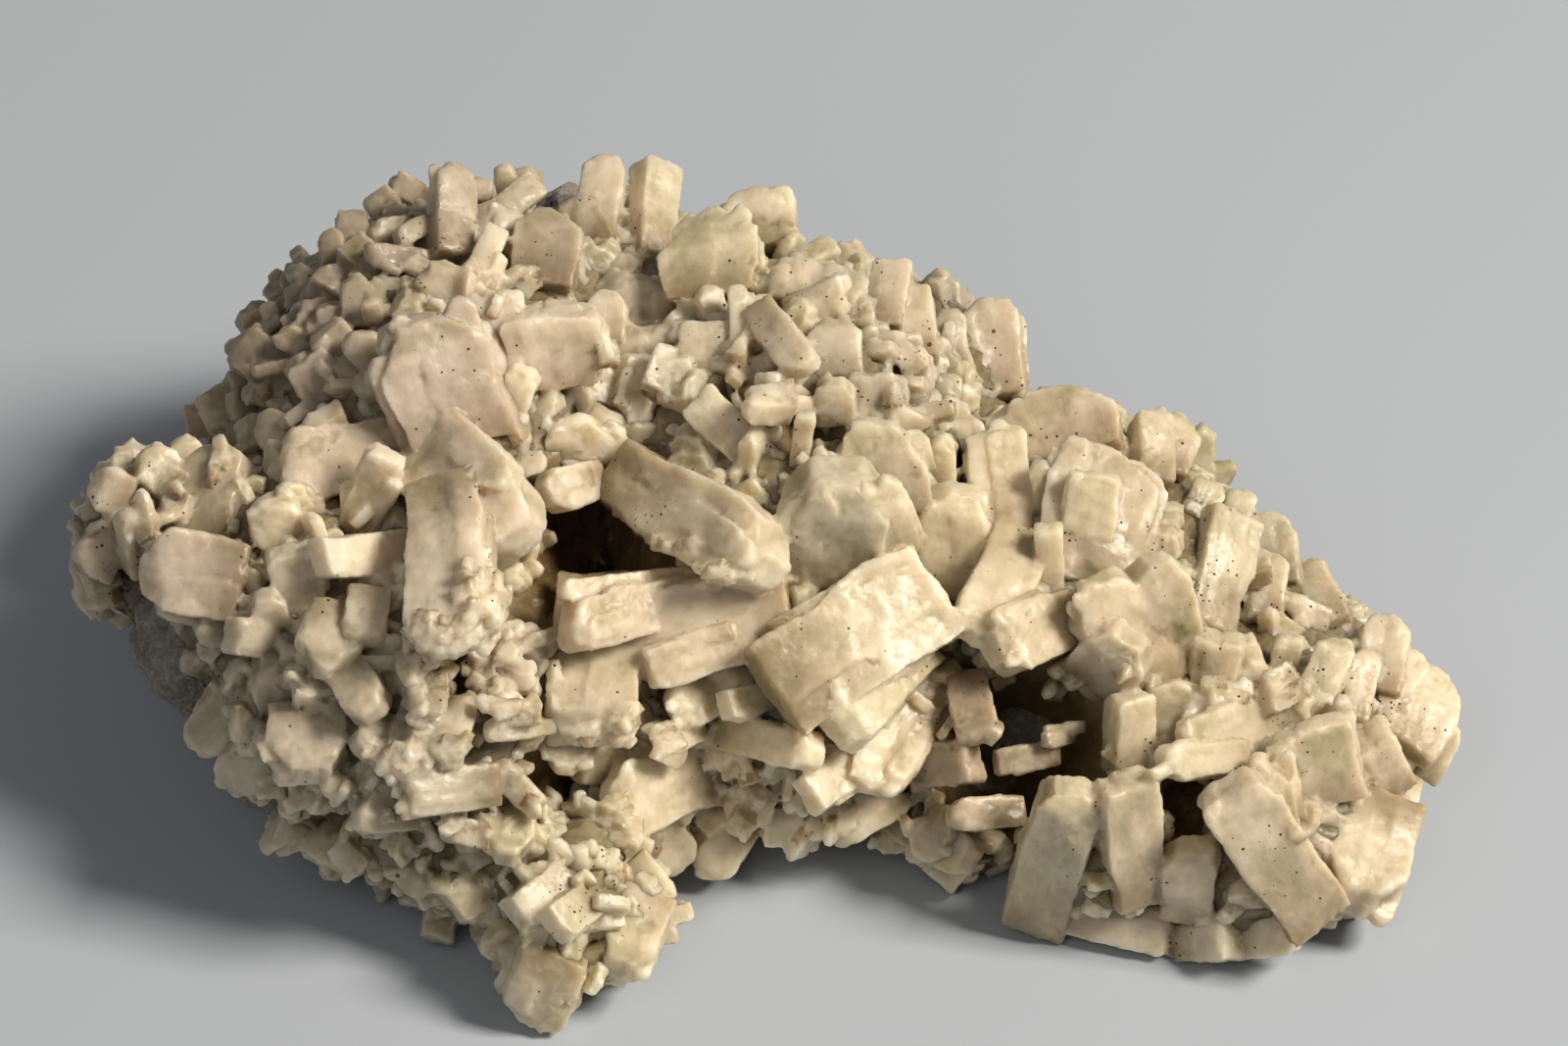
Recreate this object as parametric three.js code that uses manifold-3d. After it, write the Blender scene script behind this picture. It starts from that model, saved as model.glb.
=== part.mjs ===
// Stilbite: a loose cluster of whitish tabular crystals on a grey-brown rock matrix.
// Millimetres, +Z up, the rest plane at z = 0, the front of the cluster towards -Y.
import * as THREE from 'three';
import { ConvexGeometry } from 'three/addons/geometries/ConvexGeometry.js';
import { mergeVertices } from 'three/addons/utils/BufferGeometryUtils.js';
import Module from 'manifold-3d';

const wasm = await Module();
wasm.setup();

// Places are given in a measuring plane that leans back: millimetres across from its left edge,
// millimetres down from its top edge, and millimetres out from it, towards the front and up.
const PLANE_LEAN = THREE.MathUtils.degToRad(40);
const PLANE_MIDDLE_ACROSS = 80;
const PLANE_MIDDLE_DOWN = 53.35;
const PLANE_HEIGHT = 32;
const EYE_DISTANCE = 800;

// The gap between the rock and the crust, and the block under the flat rest that is cut away.
const GAP = 0.3;
const GROUND_WIDTH = 400;
const GROUND_DEPTH = 60;

// The crust is a union of lumps: across, down, height of the middle, then the three radii.
const CRUST_LUMPS = [
  [47, 47, 22, 24, 30, 26],
  [43, 68, 17, 22, 26, 19],
  [29.5, 61, 24, 13, 16, 14],
  [16, 55, 27, 9, 9.5, 9.5],
  [38, 36, 25, 12, 14, 11.5],
  [60, 41, 22, 18, 24, 20],
  [79, 52, 19, 22, 30, 26],
  [82, 65, 14, 21, 24, 17],
  [93, 41, 22, 11, 14, 12],
  [108, 62, 13, 21, 26, 19],
  [114, 74, 8, 17, 27, 14],
  [127, 76, 6, 17, 28, 14],
  [49, 83, 9, 13, 13, 10],
  [66, 74, 10, 11, 16, 13],
  [99, 76, 8, 11, 16, 12],
  [58.5, 92, 7, 8.5, 11, 9],
];

// The rock goes through the inside and comes out below, behind, along the lower left edge and
// in the notch at the top edge.
const ROCK_LUMPS = [
  [49, 50, 14, 24, 31, 17],
  [84, 53, 11, 26, 31, 15],
  [113, 65, 7, 18, 25, 10],
  [22, 64.5, 19.5, 9, 10.5, 9],
  [35, 74, 13, 13, 13, 10],
  [58, 30.5, 23, 6, 9, 14],
];

// How finely each lump is faceted and how rough it is.
const BALL_DETAIL = 1;
const ROUGHNESS = 0.05;

// Ends of crystals: how far back from the tip the taper starts, as a part of the width, how wide
// and thick the end is, and how far it is shifted to one side.
const ENDS = {
  square: { taper: 0.1, ridge: 0.86, thin: 0.8, skew: 0 },
  chisel: { taper: 0.26, ridge: 0.6, thin: 0.4, skew: 0 },
  point: { taper: 0.5, ridge: 0.16, thin: 0.5, skew: 0 },
  round: { taper: 0.36, ridge: 0.45, thin: 0.6, skew: 0 },
  left: { taper: 0.34, ridge: 0.4, thin: 0.65, skew: -0.5 },
  right: { taper: 0.34, ridge: 0.4, thin: 0.65, skew: 0.5 },
};
const ROOT_NARROWING = 0.82;
const EDGE_BEVEL = 0.72;
const SMALL_WIDTH = 4.6;
const BEVELLED_WIDTH = 6;
const STEEP = 0.97;

// Crystals lean back from the line of sight, or stand out along it, by no more than this.
const MOST_BACK = Math.tan(THREE.MathUtils.degToRad(30));
const MOST_OUT = Math.tan(THREE.MathUtils.degToRad(42));

// The hidden side, from a repeatable stream of numbers: crystals that stand on the lumps.
const BACK_SEED = 77;
const BACK_TRIES = 900;
const BACK_CRYSTALS = 10;
const BACK_WIDTH = [3.8, 6.4];
const BACK_LENGTH = [3, 6];
const BACK_FLATNESS = 0.6;
const BACK_LEAN = 0.7;
const BACK_FACING = -0.6;
const BACK_ROOT_DEPTH = 3;
const BACK_LOWEST = 6;
const STREAM_FACTOR = 16807;
const STREAM_LIMIT = 2147483647;

// Crystals by region. Each row: root across and down, tip across and down, width, thickness,
// how far the tip stands out, roll in degrees, kind of end and, for some, how far the root does.
const leftCentre = [
  [46.8, 45.5, 42.3, 32.2, 11, 6, 8, 10, 'round'],
  [54, 44.5, 47.5, 32.5, 6, 2, 4, 60, 'chisel'],
  [43.5, 46, 53.5, 55, 9.5, 8, 10, 0, 'round'],
  [45.5, 50, 46.5, 66, 8, 6.5, 9, 10, 'right'],
  [36.3, 54.5, 39.5, 46, 4, 3, 6, 0, 'square'],
  [42.8, 56, 32.2, 57.2, 4.2, 3.5, 6, 0, 'square'],
  [37.5, 60.5, 37, 65.5, 4.5, 3, 3, 0, 'left'],
  [34.5, 62.5, 33, 69, 6, 4, 4, 0, 'point'],
  [41, 46, 28, 47.5, 7, 3, 4, 0, 'left'],
];

const leftEnd = [
  [13.5, 51, 9.4, 49, 5, 5, 3, 0, 'round'],
  [17.5, 50, 14.5, 46, 5, 4.5, 3, 20, 'round'],
  [12, 57, 8, 55, 5.5, 4, 3, 0, 'left'],
  [12, 60, 8.5, 60.5, 4, 3, 2, 0, 'square'],
  [21.5, 55.5, 22, 45.5, 6.5, 4, 5, -20, 'round'],
  [25, 59.5, 14.5, 57.5, 8.5, 7, 5, 0, 'left'],
  [31, 62.5, 29.5, 56, 5, 3, 3, 0, 'square'],
  [30, 55, 26.5, 51, 6, 4, 3, 0, 'left'],
  [32, 45.5, 26.5, 43.5, 4.4, 3, 3, 0, 'round'],
  [26, 46.5, 22, 40, 4.6, 3.5, 1, 0, 'square'],
];

const upperLeft = [
  [29, 39, 24, 34.5, 5, 3, 2, 0, 'right'],
  [28.5, 38.5, 27.5, 34, 5, 3, 4, 0, 'point'],
  [26.5, 33.5, 25, 31.5, 4, 3, 2, 0, 'round'],
  [36, 25, 36, 22, 3.5, 3, 1, 0, 'square'],
  [40, 22, 38.5, 20, 3.5, 3, 2, 0, 'square'],
  [46, 26.5, 46.2, 17.5, 4.3, 4, 3, 25, 'round'],
  [50, 25.5, 50.5, 17, 5, 4, 2, 0, 'round'],
  [53, 25.5, 54.5, 17.5, 4.6, 3.5, 2, 0, 'square'],
  [44.5, 32, 46.5, 27, 4, 3, 2, 0, 'chisel'],
  [42, 33, 42.3, 30.3, 4, 3, 2, 0, 'round'],
  [35, 36, 33, 33.5, 4.5, 3, 3, 0, 'square'],
  [39, 38, 36, 34, 4, 3, 3, 0, 'left'],
  [34, 41, 31, 36.5, 5, 3, 3, 0, 'square'],
];

const topCentre = [
  [55, 30, 56.3, 21.5, 7, 5, 6, 0, 'point'],
  [60.5, 25, 61.8, 16.5, 4.6, 4, 2, 0, 'round'],
  [61.5, 25.5, 58.5, 20.5, 4.5, 4, 3, 0, 'chisel'],
  [66.5, 26.5, 66.8, 17, 4.6, 4, 3, 35, 'square'],
  [77.5, 26, 76.5, 20, 7, 5, 2, 0, 'round'],
  [72.8, 31, 72, 22.2, 10, 6, 4, 0, 'point'],
  [77.5, 31.5, 82.3, 38, 4, 3, 4, 0, 'left'],
  [80.5, 31, 81.5, 26.8, 4.3, 3, 3, 0, 'square'],
  [50.5, 36, 50.5, 29.5, 5.5, 4, 3, 0, 'round'],
  [57, 39, 56, 31.5, 10, 6, 5, 0, 'square'],
  [61.8, 35, 62.2, 29.5, 4, 3, 4, 0, 'round'],
  [66, 34.5, 65.5, 28, 4.5, 3, 2, 0, 'point'],
  [66, 36.5, 65.5, 33.3, 5, 3, 3, 0, 'chisel'],
  [68.5, 41, 68.5, 36.5, 4, 2.5, 3, 0, 'square'],
  [60, 48, 59.5, 42.3, 9, 3, 3, 0, 'point'],
  [61, 49, 55.5, 50.5, 4.5, 4, 2, 0, 'round'],
  [72, 39, 72, 33, 5, 3, 2, 0, 'square'],
];

const centre = [
  [63.5, 48.5, 79, 57.5, 8, 7, 8, 0, 'right', 2],
  [77.5, 47, 71, 40.5, 4.5, 3, 3, 0, 'square'],
  [73.5, 60.5, 57.5, 64, 5, 5, 6, 0, 'left'],
  [61.5, 63, 60.5, 74.5, 7, 6, 7, 0, 'square'],
  [80, 60.5, 64.5, 64.5, 6.5, 5, 9, 0, 'left', 2],
  [79.5, 64, 66, 68.5, 4.5, 5, 8, 0, 'square', 2],
  [79, 70.5, 95.5, 60, 10.5, 6, 8, 0, 'square', 5],
  [93, 66, 85, 74.5, 6.5, 5, 6, 0, 'chisel'],
  [74, 74.5, 83.5, 77, 4, 4, 6, 0, 'round'],
  [73, 70, 69, 73, 4.5, 3, 5, 0, 'round'],
  [72, 79, 62, 82.5, 7.5, 4, 6, 0, 'round'],
  [76.5, 83.5, 71, 89.5, 4.5, 3, 3, 0, 'point'],
  [84.5, 58, 85.5, 48, 11, 8, 7, 0, 'round'],
  [91, 56, 88, 49.5, 6, 4, 9, 0, 'point'],
  [90.5, 52, 89.5, 43.3, 9, 3, 4, 0, 'round'],
  [96.5, 60, 97.5, 49.5, 7, 6, 7, 0, 'right'],
  [102.5, 56, 101.5, 43.5, 6, 5, 6, 0, 'right'],
  [104, 55, 99.5, 65.5, 6.5, 5, 7, 0, 'chisel'],
  [109, 63, 101, 66.5, 6.5, 5, 7, 0, 'round'],
];

const right = [
  [108.5, 47.5, 106, 40.2, 13, 4, 4, 0, 'round'],
  [110.5, 60, 113, 45.5, 11.5, 4.5, 6, 0, 'left'],
  [110, 57.5, 112, 48, 5.5, 3, 8, 0, 'square'],
  [117.5, 49.5, 117.3, 42.6, 4, 4, 4, 20, 'square'],
  [118.5, 48.5, 120.5, 42.5, 5, 4.5, 5, 0, 'point'],
  [122.5, 65, 125.5, 52.5, 6, 5, 5, 25, 'square'],
  [129, 64, 129.2, 56.5, 4.2, 3, 5, 0, 'round'],
  [130.5, 60, 129.5, 52.5, 4.3, 3.5, 3, 0, 'left'],
  [136.5, 64, 133, 57.5, 3.8, 3.5, 3, 0, 'chisel'],
  [140.5, 71, 141.5, 63, 4.8, 3, 2, 0, 'left'],
  [133.5, 73, 136.5, 65, 4.2, 4.2, 6, 0, 'round'],
  [142.5, 76, 146.8, 68.5, 8, 2.5, 2, 0, 'left'],
  [142, 80, 139.5, 75, 5, 4, 4, 0, 'square'],
  [141, 82, 138, 92.5, 8.5, 7, 5, 0, 'round'],
  [135.5, 81.5, 133.5, 74, 8, 3, 6, 0, 'square'],
  [132, 72.5, 120.5, 75.3, 3.8, 2.5, 6, 0, 'chisel'],
  [126.5, 77, 118.3, 77.8, 3.6, 3, 7, 0, 'round'],
  [130, 85, 128.5, 77, 6.5, 3.5, 5, 0, 'point'],
  [134.5, 94, 125, 80.2, 7, 5, 7, 0, 'square', 3],
  [116, 92, 114.8, 79.5, 5.8, 4.5, 6, 15, 'square'],
  [105.5, 94, 109.7, 80, 7, 5, 6, 0, 'round'],
  [107.5, 92.5, 119.5, 95.5, 5, 4, 3, 0, 'square'],
  [119.5, 96, 126, 96, 3.6, 3, 1, 0, 'square'],
  [126, 96, 132, 95, 3.6, 3, 1, 0, 'square'],
  [121, 93, 122, 86, 6, 4, 3, 0, 'round'],
  [91, 83, 99.5, 88.5, 4.5, 3, 2, 0, 'chisel'],
  [115, 78.5, 115.3, 70.7, 4.4, 4, 5, 25, 'square'],
  [112, 69, 115.5, 64.5, 7, 5, 6, 0, 'round'],
  [120, 68.5, 109.5, 59.5, 7.5, 4, 6, 0, 'point'],
  [120, 67.5, 117, 57, 7.5, 4, 7, 0, 'right'],
  [123.5, 70.5, 124.5, 65, 5, 4, 5, 0, 'square'],
  [118, 75, 121, 69.5, 5, 3, 5, 0, 'round'],
];

const lowerMiddle = [
  [98.5, 69, 100, 75.5, 4.2, 3, 5, 0, 'round'],
  [93.5, 78, 99.5, 77.5, 4.5, 3, 3, 0, 'square'],
  [95, 70, 88, 81, 6, 4, 5, 0, 'right'],
  [90, 76, 82.5, 81.5, 4.5, 3.5, 6, 0, 'square'],
  [91.5, 80, 84.5, 85.5, 5, 4, 5, 0, 'round'],
  [66, 84, 69.5, 88, 5, 4, 4, 0, 'round'],
  [78, 79.5, 75.5, 84, 4, 3, 3, 0, 'chisel'],
  [80, 82, 80, 86, 4, 3, 2, 0, 'square'],
  [94, 83, 95.5, 88, 4, 3, 2, 0, 'round'],
];

const upperRight = [
  [90, 33.5, 91, 27, 4.4, 3.5, 3, 0, 'square'],
  [102, 41, 100.5, 31, 6.5, 5, 3, 0, 'right'],
  [94, 37, 93, 29.5, 4, 3, 2, 0, 'chisel'],
  [85.5, 39, 85.3, 32, 6, 3.5, 3, 0, 'round'],
  [85.5, 33, 86, 27.5, 5, 3, 2, 0, 'left'],
  [89, 43, 89, 38, 5, 4, 2, 0, 'square'],
  [85.2, 43, 85.2, 39, 4, 3, 3, 0, 'round'],
];

const lowerLeft = [
  [28.5, 72, 27.5, 68.5, 4.5, 3, 2, 0, 'round'],
  [25.5, 69.5, 20.5, 76.5, 5, 3.5, 2, 20, 'round'],
  [28, 74, 23.5, 80.5, 5, 3.5, 1, 0, 'round'],
  [35.5, 68.5, 38.3, 73, 4.5, 4, 4, 0, 'round'],
  [31.5, 72.5, 31.8, 79.5, 8, 5, 4, 0, 'round'],
  [46.5, 72, 42.8, 77.8, 5, 3, 4, 0, 'round'],
  [42.5, 82.5, 36, 83, 4.5, 3, 3, 0, 'left'],
  [50.5, 80, 40.8, 81, 4.5, 4, 4, 0, 'square', 1],
  [52.5, 82, 51.5, 87.5, 4.5, 3.5, 4, 0, 'round'],
  [58.5, 74.5, 57.7, 78.7, 4, 3, 2, 0, 'round'],
  [57.5, 89.5, 52.5, 93.5, 4, 4, 3, 0, 'square'],
  [60, 92, 56.5, 94.5, 4, 3, 3, 0, 'square'],
  [66, 92, 63, 99, 6, 5, 2, 0, 'round'],
  [57, 96, 54, 103, 7.5, 6, 1, 0, 'round'],
  [50, 89.5, 46, 92.5, 4.5, 3, 2, 0, 'square'],
  [44, 88, 41, 91, 4, 3, 1, 0, 'round'],
  [37, 86, 34.5, 88.5, 4, 3, 1, 0, 'round'],
];

const regions = [
  leftCentre, leftEnd, upperLeft, topCentre, centre, right, lowerMiddle, upperRight, lowerLeft,
];

const UP = new THREE.Vector3(0, 0, 1);
const PLANE_UP = new THREE.Vector3(0, Math.sin(PLANE_LEAN), Math.cos(PLANE_LEAN));
const PLANE_OUT = new THREE.Vector3(0, -Math.cos(PLANE_LEAN), Math.sin(PLANE_LEAN));
const PLANE_MIDDLE = new THREE.Vector3(0, 0, PLANE_HEIGHT);
const EYE = PLANE_MIDDLE.clone().addScaledVector(PLANE_OUT, EYE_DISTANCE);

// A point of the measuring plane.
function planePoint(across, down) {
  return PLANE_MIDDLE.clone()
    .add(new THREE.Vector3(across - PLANE_MIDDLE_ACROSS, 0, 0))
    .addScaledVector(PLANE_UP, PLANE_MIDDLE_DOWN - down);
}

// The point at a given height on the line of sight through a point of the plane.
function pointAtHeight(across, down, height) {
  const seen = planePoint(across, down);
  return EYE.clone().lerp(seen, (height - EYE.z) / (seen.z - EYE.z));
}

function lumpOf([across, down, height, rx, ry, rz]) {
  return { middle: pointAtHeight(across, down, height), radii: new THREE.Vector3(rx, ry, rz) };
}

const crustLumps = CRUST_LUMPS.map(lumpOf);
const rockLumps = ROCK_LUMPS.map(lumpOf);

// Where the line of sight through a point of the plane meets the crust, moved out by some mm.
function onCrust(across, down, out) {
  const seen = planePoint(across, down);
  const toPlane = seen.clone().sub(EYE);
  const hits = crustLumps.map(({ middle, radii }) => {
    const from = EYE.clone().sub(middle).divide(radii);
    const along = toPlane.clone().divide(radii);
    const a = along.dot(along);
    const b = from.dot(along);
    const inside = b * b - a * (from.dot(from) - 1);
    const reach = inside > 0 ? (-b - Math.sqrt(inside)) / a : -b / a;
    return { miss: Math.max(0, -inside / a), reach };
  });
  const miss = Math.min(...hits.map((hit) => hit.miss));
  const reach = Math.min(...hits.filter((hit) => hit.miss <= miss).map((hit) => hit.reach));
  return EYE.clone().addScaledVector(toPlane, reach - out / EYE_DISTANCE);
}

// A lump of rock or crust: a ball with shallow dents, stretched to its radii.
function roughLump({ middle, radii }, swell) {
  const ball = new THREE.IcosahedronGeometry(1, BALL_DETAIL);
  const place = ball.getAttribute('position');
  const point = new THREE.Vector3();
  for (let i = 0; i < place.count; i += 1) {
    point.fromBufferAttribute(place, i);
    const wave = Math.sin(5 * point.x + radii.x) * Math.cos(6 * point.y + radii.y);
    const ripple = Math.sin(11 * point.z + 7 * point.x) * Math.sin(9 * point.y + radii.z);
    point.multiplyScalar(1 + ROUGHNESS * (wave + 0.6 * ripple));
    point.multiply(radii.clone().addScalar(swell)).add(middle);
    place.setXYZ(i, point.x, point.y, point.z);
  }
  return ball;
}

// The ends of a crystal whose places in the plane and distances from the crust are given.
function endsOf([rootAcross, rootDown, tipAcross, tipDown, , , out, , , lift = -2]) {
  const root = onCrust(rootAcross, rootDown, lift);
  const tip = onCrust(tipAcross, tipDown, out);
  const along = tip.clone().sub(root);
  const depth = along.dot(PLANE_OUT);
  const flat = along.addScaledVector(PLANE_OUT, -depth).length();
  const towardsEye = EYE.clone().sub(root).normalize();
  tip.addScaledVector(towardsEye, Math.max(0, -flat * MOST_BACK - depth));
  root.addScaledVector(towardsEye, Math.max(0, depth - flat * MOST_OUT));
  return [root, tip];
}

// A tabular crystal from its root to its tip, its wide face turned by roll from the plane.
function crystal(root, tip, wide, thick, roll, endName) {
  const end = ENDS[endName];
  const along = tip.clone().sub(root);
  const long = along.length();
  along.normalize();
  const facing = Math.abs(along.dot(PLANE_OUT)) > STEEP ? UP : PLANE_OUT;
  const side = new THREE.Vector3().crossVectors(along, facing).normalize();
  side.applyAxisAngle(along, THREE.MathUtils.degToRad(roll));
  const face = new THREE.Vector3().crossVectors(side, along);
  const at = (length, across, deep) =>
    root
      .clone()
      .addScaledVector(along, length)
      .addScaledVector(side, across * wide * 0.5)
      .addScaledVector(face, deep * thick * 0.5);
  const square = (length, scale, corner) => [
    at(length, -corner * scale, -scale),
    at(length, corner * scale, -scale),
    at(length, corner * scale, scale),
    at(length, -corner * scale, scale),
  ];
  const bevelled = (length, scale) => [
    ...square(length, scale, EDGE_BEVEL),
    at(length, -scale, 0),
    at(length, scale, 0),
  ];
  const section = (length, scale) =>
    wide < BEVELLED_WIDTH ? square(length, scale, 1) : bevelled(length, scale);
  const shoulder = long - Math.min(end.taper * wide, long * 0.6);
  const points = [...section(0, ROOT_NARROWING), ...section(shoulder, 1)];
  const thin = wide < SMALL_WIDTH ? 0 : end.thin;
  [-1, 1].forEach((turn) => {
    const across = turn * end.ridge + end.skew * (1 - end.ridge);
    points.push(at(long, across, thin), at(long, across, -thin));
  });
  return new ConvexGeometry(points);
}

// A closed geometry as a solid that can be joined and cut.
function solidOf(geometry) {
  const bare = geometry.clone();
  bare.deleteAttribute('normal');
  bare.deleteAttribute('uv');
  const merged = mergeVertices(bare, 1e-4);
  return new wasm.Manifold(
    new wasm.Mesh({
      numProp: 3,
      vertProperties: new Float32Array(merged.getAttribute('position').array),
      triVerts: new Uint32Array(merged.index.array),
    }),
  );
}

const joined = (pieces) => pieces.reduce((whole, piece) => whole.add(piece));

function geometryOf(solid) {
  const mesh = solid.getMesh();
  const geometry = new THREE.BufferGeometry();
  geometry.setAttribute('position', new THREE.BufferAttribute(new Float32Array(mesh.vertProperties), 3));
  geometry.setIndex(new THREE.BufferAttribute(new Uint32Array(mesh.triVerts), 1));
  return geometry;
}

const largest = (solid) =>
  solid.decompose().reduce((best, body) => (body.volume() > best.volume() ? body : best));

const ground = new THREE.BoxGeometry(GROUND_WIDTH, GROUND_WIDTH, GROUND_DEPTH);
ground.translate(0, 0, -GROUND_DEPTH / 2);
const groundSolid = solidOf(ground);

const crystals = regions.flat().map((row) => {
  const [, , , , wide, thick, , roll, end] = row;
  return solidOf(crystal(...endsOf(row), wide, thick, roll, end));
});

function numberStream(seed) {
  let state = seed;
  return (low = 0, high = 1) => {
    state = (state * STREAM_FACTOR) % STREAM_LIMIT;
    return low + (high - low) * (state / STREAM_LIMIT);
  };
}

const covers = ({ middle, radii }, point) => point.clone().sub(middle).divide(radii).length() < 1;

function backCrystals() {
  const next = numberStream(BACK_SEED);
  const direction = () => new THREE.Vector3(next(-1, 1), next(-1, 1), next(-1, 1)).normalize();
  const made = [];
  for (let i = 0; i < BACK_TRIES && made.length < BACK_CRYSTALS; i += 1) {
    const lump = crustLumps[Math.floor(next(0, crustLumps.length))];
    const place = direction().multiply(lump.radii).add(lump.middle);
    const outward = place.clone().sub(lump.middle).divide(lump.radii).divide(lump.radii).normalize();
    const along = outward.clone().addScaledVector(direction(), BACK_LEAN).normalize();
    const wide = next(...BACK_WIDTH);
    const long = next(...BACK_LENGTH);
    const roll = next(-90, 90);
    const end = Object.keys(ENDS)[Math.floor(next(0, Object.keys(ENDS).length))];
    const buried = crustLumps.some((other) => other !== lump && covers(other, place));
    const seen = outward.dot(PLANE_OUT) > BACK_FACING;
    if (buried || seen || place.z < BACK_LOWEST) continue;
    if (rockLumps.some((other) => covers(other, place))) continue;
    const crowded = made.some((other) => other.place.distanceTo(place) < wide);
    if (crowded) continue;
    const root = place.clone().addScaledVector(along, -BACK_ROOT_DEPTH);
    const tip = place.clone().addScaledVector(along, long);
    made.push({ place, shape: crystal(root, tip, wide, wide * BACK_FLATNESS, roll, end) });
  }
  return made.map(({ shape }) => solidOf(shape));
}

const rock = joined(rockLumps.map((lump) => solidOf(roughLump(lump, 0)))).subtract(groundSolid);
const rockRoom = joined(rockLumps.map((lump) => solidOf(roughLump(lump, GAP))));
const crust = joined(crustLumps.map((lump) => solidOf(roughLump(lump, 0))));
const grown = joined([crust, ...crystals, ...backCrystals()]);
const cluster = largest(grown.subtract(groundSolid).subtract(rockRoom));

const crystalMaterial = new THREE.MeshStandardMaterial({ color: 0xe3d9c6, roughness: 0.45, metalness: 0 });
const rockMaterial = new THREE.MeshStandardMaterial({ color: 0x7d7468, roughness: 0.9, metalness: 0 });

const group = new THREE.Group();
const clusterMesh = new THREE.Mesh(geometryOf(cluster), crystalMaterial);
clusterMesh.name = 'stilbite_crystals';
const rockMesh = new THREE.Mesh(geometryOf(rock), rockMaterial);
rockMesh.name = 'matrix';
group.add(clusterMesh, rockMesh);

// The origin is the middle of the rest plane.
const box = new THREE.Box3().setFromObject(group);
const middle = box.getCenter(new THREE.Vector3());
group.position.set(-middle.x, -middle.y, -box.min.z);

export default group;
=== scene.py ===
"""A loose cluster of whitish tabular stilbite crystals on grey-brown rock, in metres, +Z up."""

import math

import bpy
import numpy as np
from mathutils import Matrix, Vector, noise
from mathutils.bvhtree import BVHTree


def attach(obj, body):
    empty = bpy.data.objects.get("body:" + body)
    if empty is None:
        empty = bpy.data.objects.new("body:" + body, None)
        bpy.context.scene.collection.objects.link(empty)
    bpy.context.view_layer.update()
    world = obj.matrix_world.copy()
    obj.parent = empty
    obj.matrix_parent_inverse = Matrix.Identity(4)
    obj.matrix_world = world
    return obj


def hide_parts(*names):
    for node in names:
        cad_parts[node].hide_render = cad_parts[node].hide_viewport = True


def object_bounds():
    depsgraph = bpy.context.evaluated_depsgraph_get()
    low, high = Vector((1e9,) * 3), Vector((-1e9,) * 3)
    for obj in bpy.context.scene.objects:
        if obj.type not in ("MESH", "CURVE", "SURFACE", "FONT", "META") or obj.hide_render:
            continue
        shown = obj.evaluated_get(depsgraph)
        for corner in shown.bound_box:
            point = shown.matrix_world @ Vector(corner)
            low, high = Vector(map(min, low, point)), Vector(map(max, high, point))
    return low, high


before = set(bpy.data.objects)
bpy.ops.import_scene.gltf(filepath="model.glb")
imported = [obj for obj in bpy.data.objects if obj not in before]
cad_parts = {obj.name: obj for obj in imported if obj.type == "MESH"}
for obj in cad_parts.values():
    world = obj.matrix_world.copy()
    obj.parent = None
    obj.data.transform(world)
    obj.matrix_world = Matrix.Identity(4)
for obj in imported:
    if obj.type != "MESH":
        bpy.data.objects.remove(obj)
solid_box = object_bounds()

MM = 0.001

# Places are given in a measuring plane that leans back, in millimetres: across from its left edge,
# down from its top edge, and out from it, towards the front and up.
PLANE_LEAN = math.radians(40)
PLANE_MIDDLE = (80.0, 53.35)
PLANE_HEIGHT = 32.0
EYE_DISTANCE = 800.0
CLUSTER_SHIFT = np.array([1.9594, -7.3363, 0.0])
RIGHT = np.array([1.0, 0.0, 0.0])
PLANE_UP = np.array([0.0, math.sin(PLANE_LEAN), math.cos(PLANE_LEAN)])
PLANE_OUT = np.array([0.0, -math.cos(PLANE_LEAN), math.sin(PLANE_LEAN)])
MIDDLE = np.array([0.0, 0.0, PLANE_HEIGHT]) + CLUSTER_SHIFT
EYE = MIDDLE + PLANE_OUT * EYE_DISTANCE

# Lumps of the crust, and of the rock inside: across, down, height of the middle, three radii.
CRUST_LUMPS = [
    (47, 47, 22, 24, 30, 26),
    (43, 68, 17, 22, 26, 19),
    (29.5, 61, 24, 13, 16, 14),
    (16, 55, 27, 9, 9.5, 9.5),
    (38, 36, 25, 12, 14, 11.5),
    (60, 41, 22, 18, 24, 20),
    (79, 52, 19, 22, 30, 26),
    (82, 65, 14, 21, 24, 17),
    (93, 41, 22, 11, 14, 12),
    (108, 62, 13, 21, 26, 19),
    (114, 74, 8, 17, 27, 14),
    (127, 76, 6, 17, 28, 14),
    (49, 83, 9, 13, 13, 10),
    (66, 74, 10, 11, 16, 13),
    (99, 76, 8, 11, 16, 12),
    (58.5, 92, 7, 8.5, 11, 9),
]
ROCK_LUMPS = [
    (49, 50, 14, 24, 31, 17),
    (84, 53, 11, 26, 31, 15),
    (113, 65, 7, 18, 25, 10),
    (22, 64.5, 19.5, 9, 10.5, 9),
    (35, 74, 13, 13, 13, 10),
    (58, 30.5, 23, 6, 9, 14),
]

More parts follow.
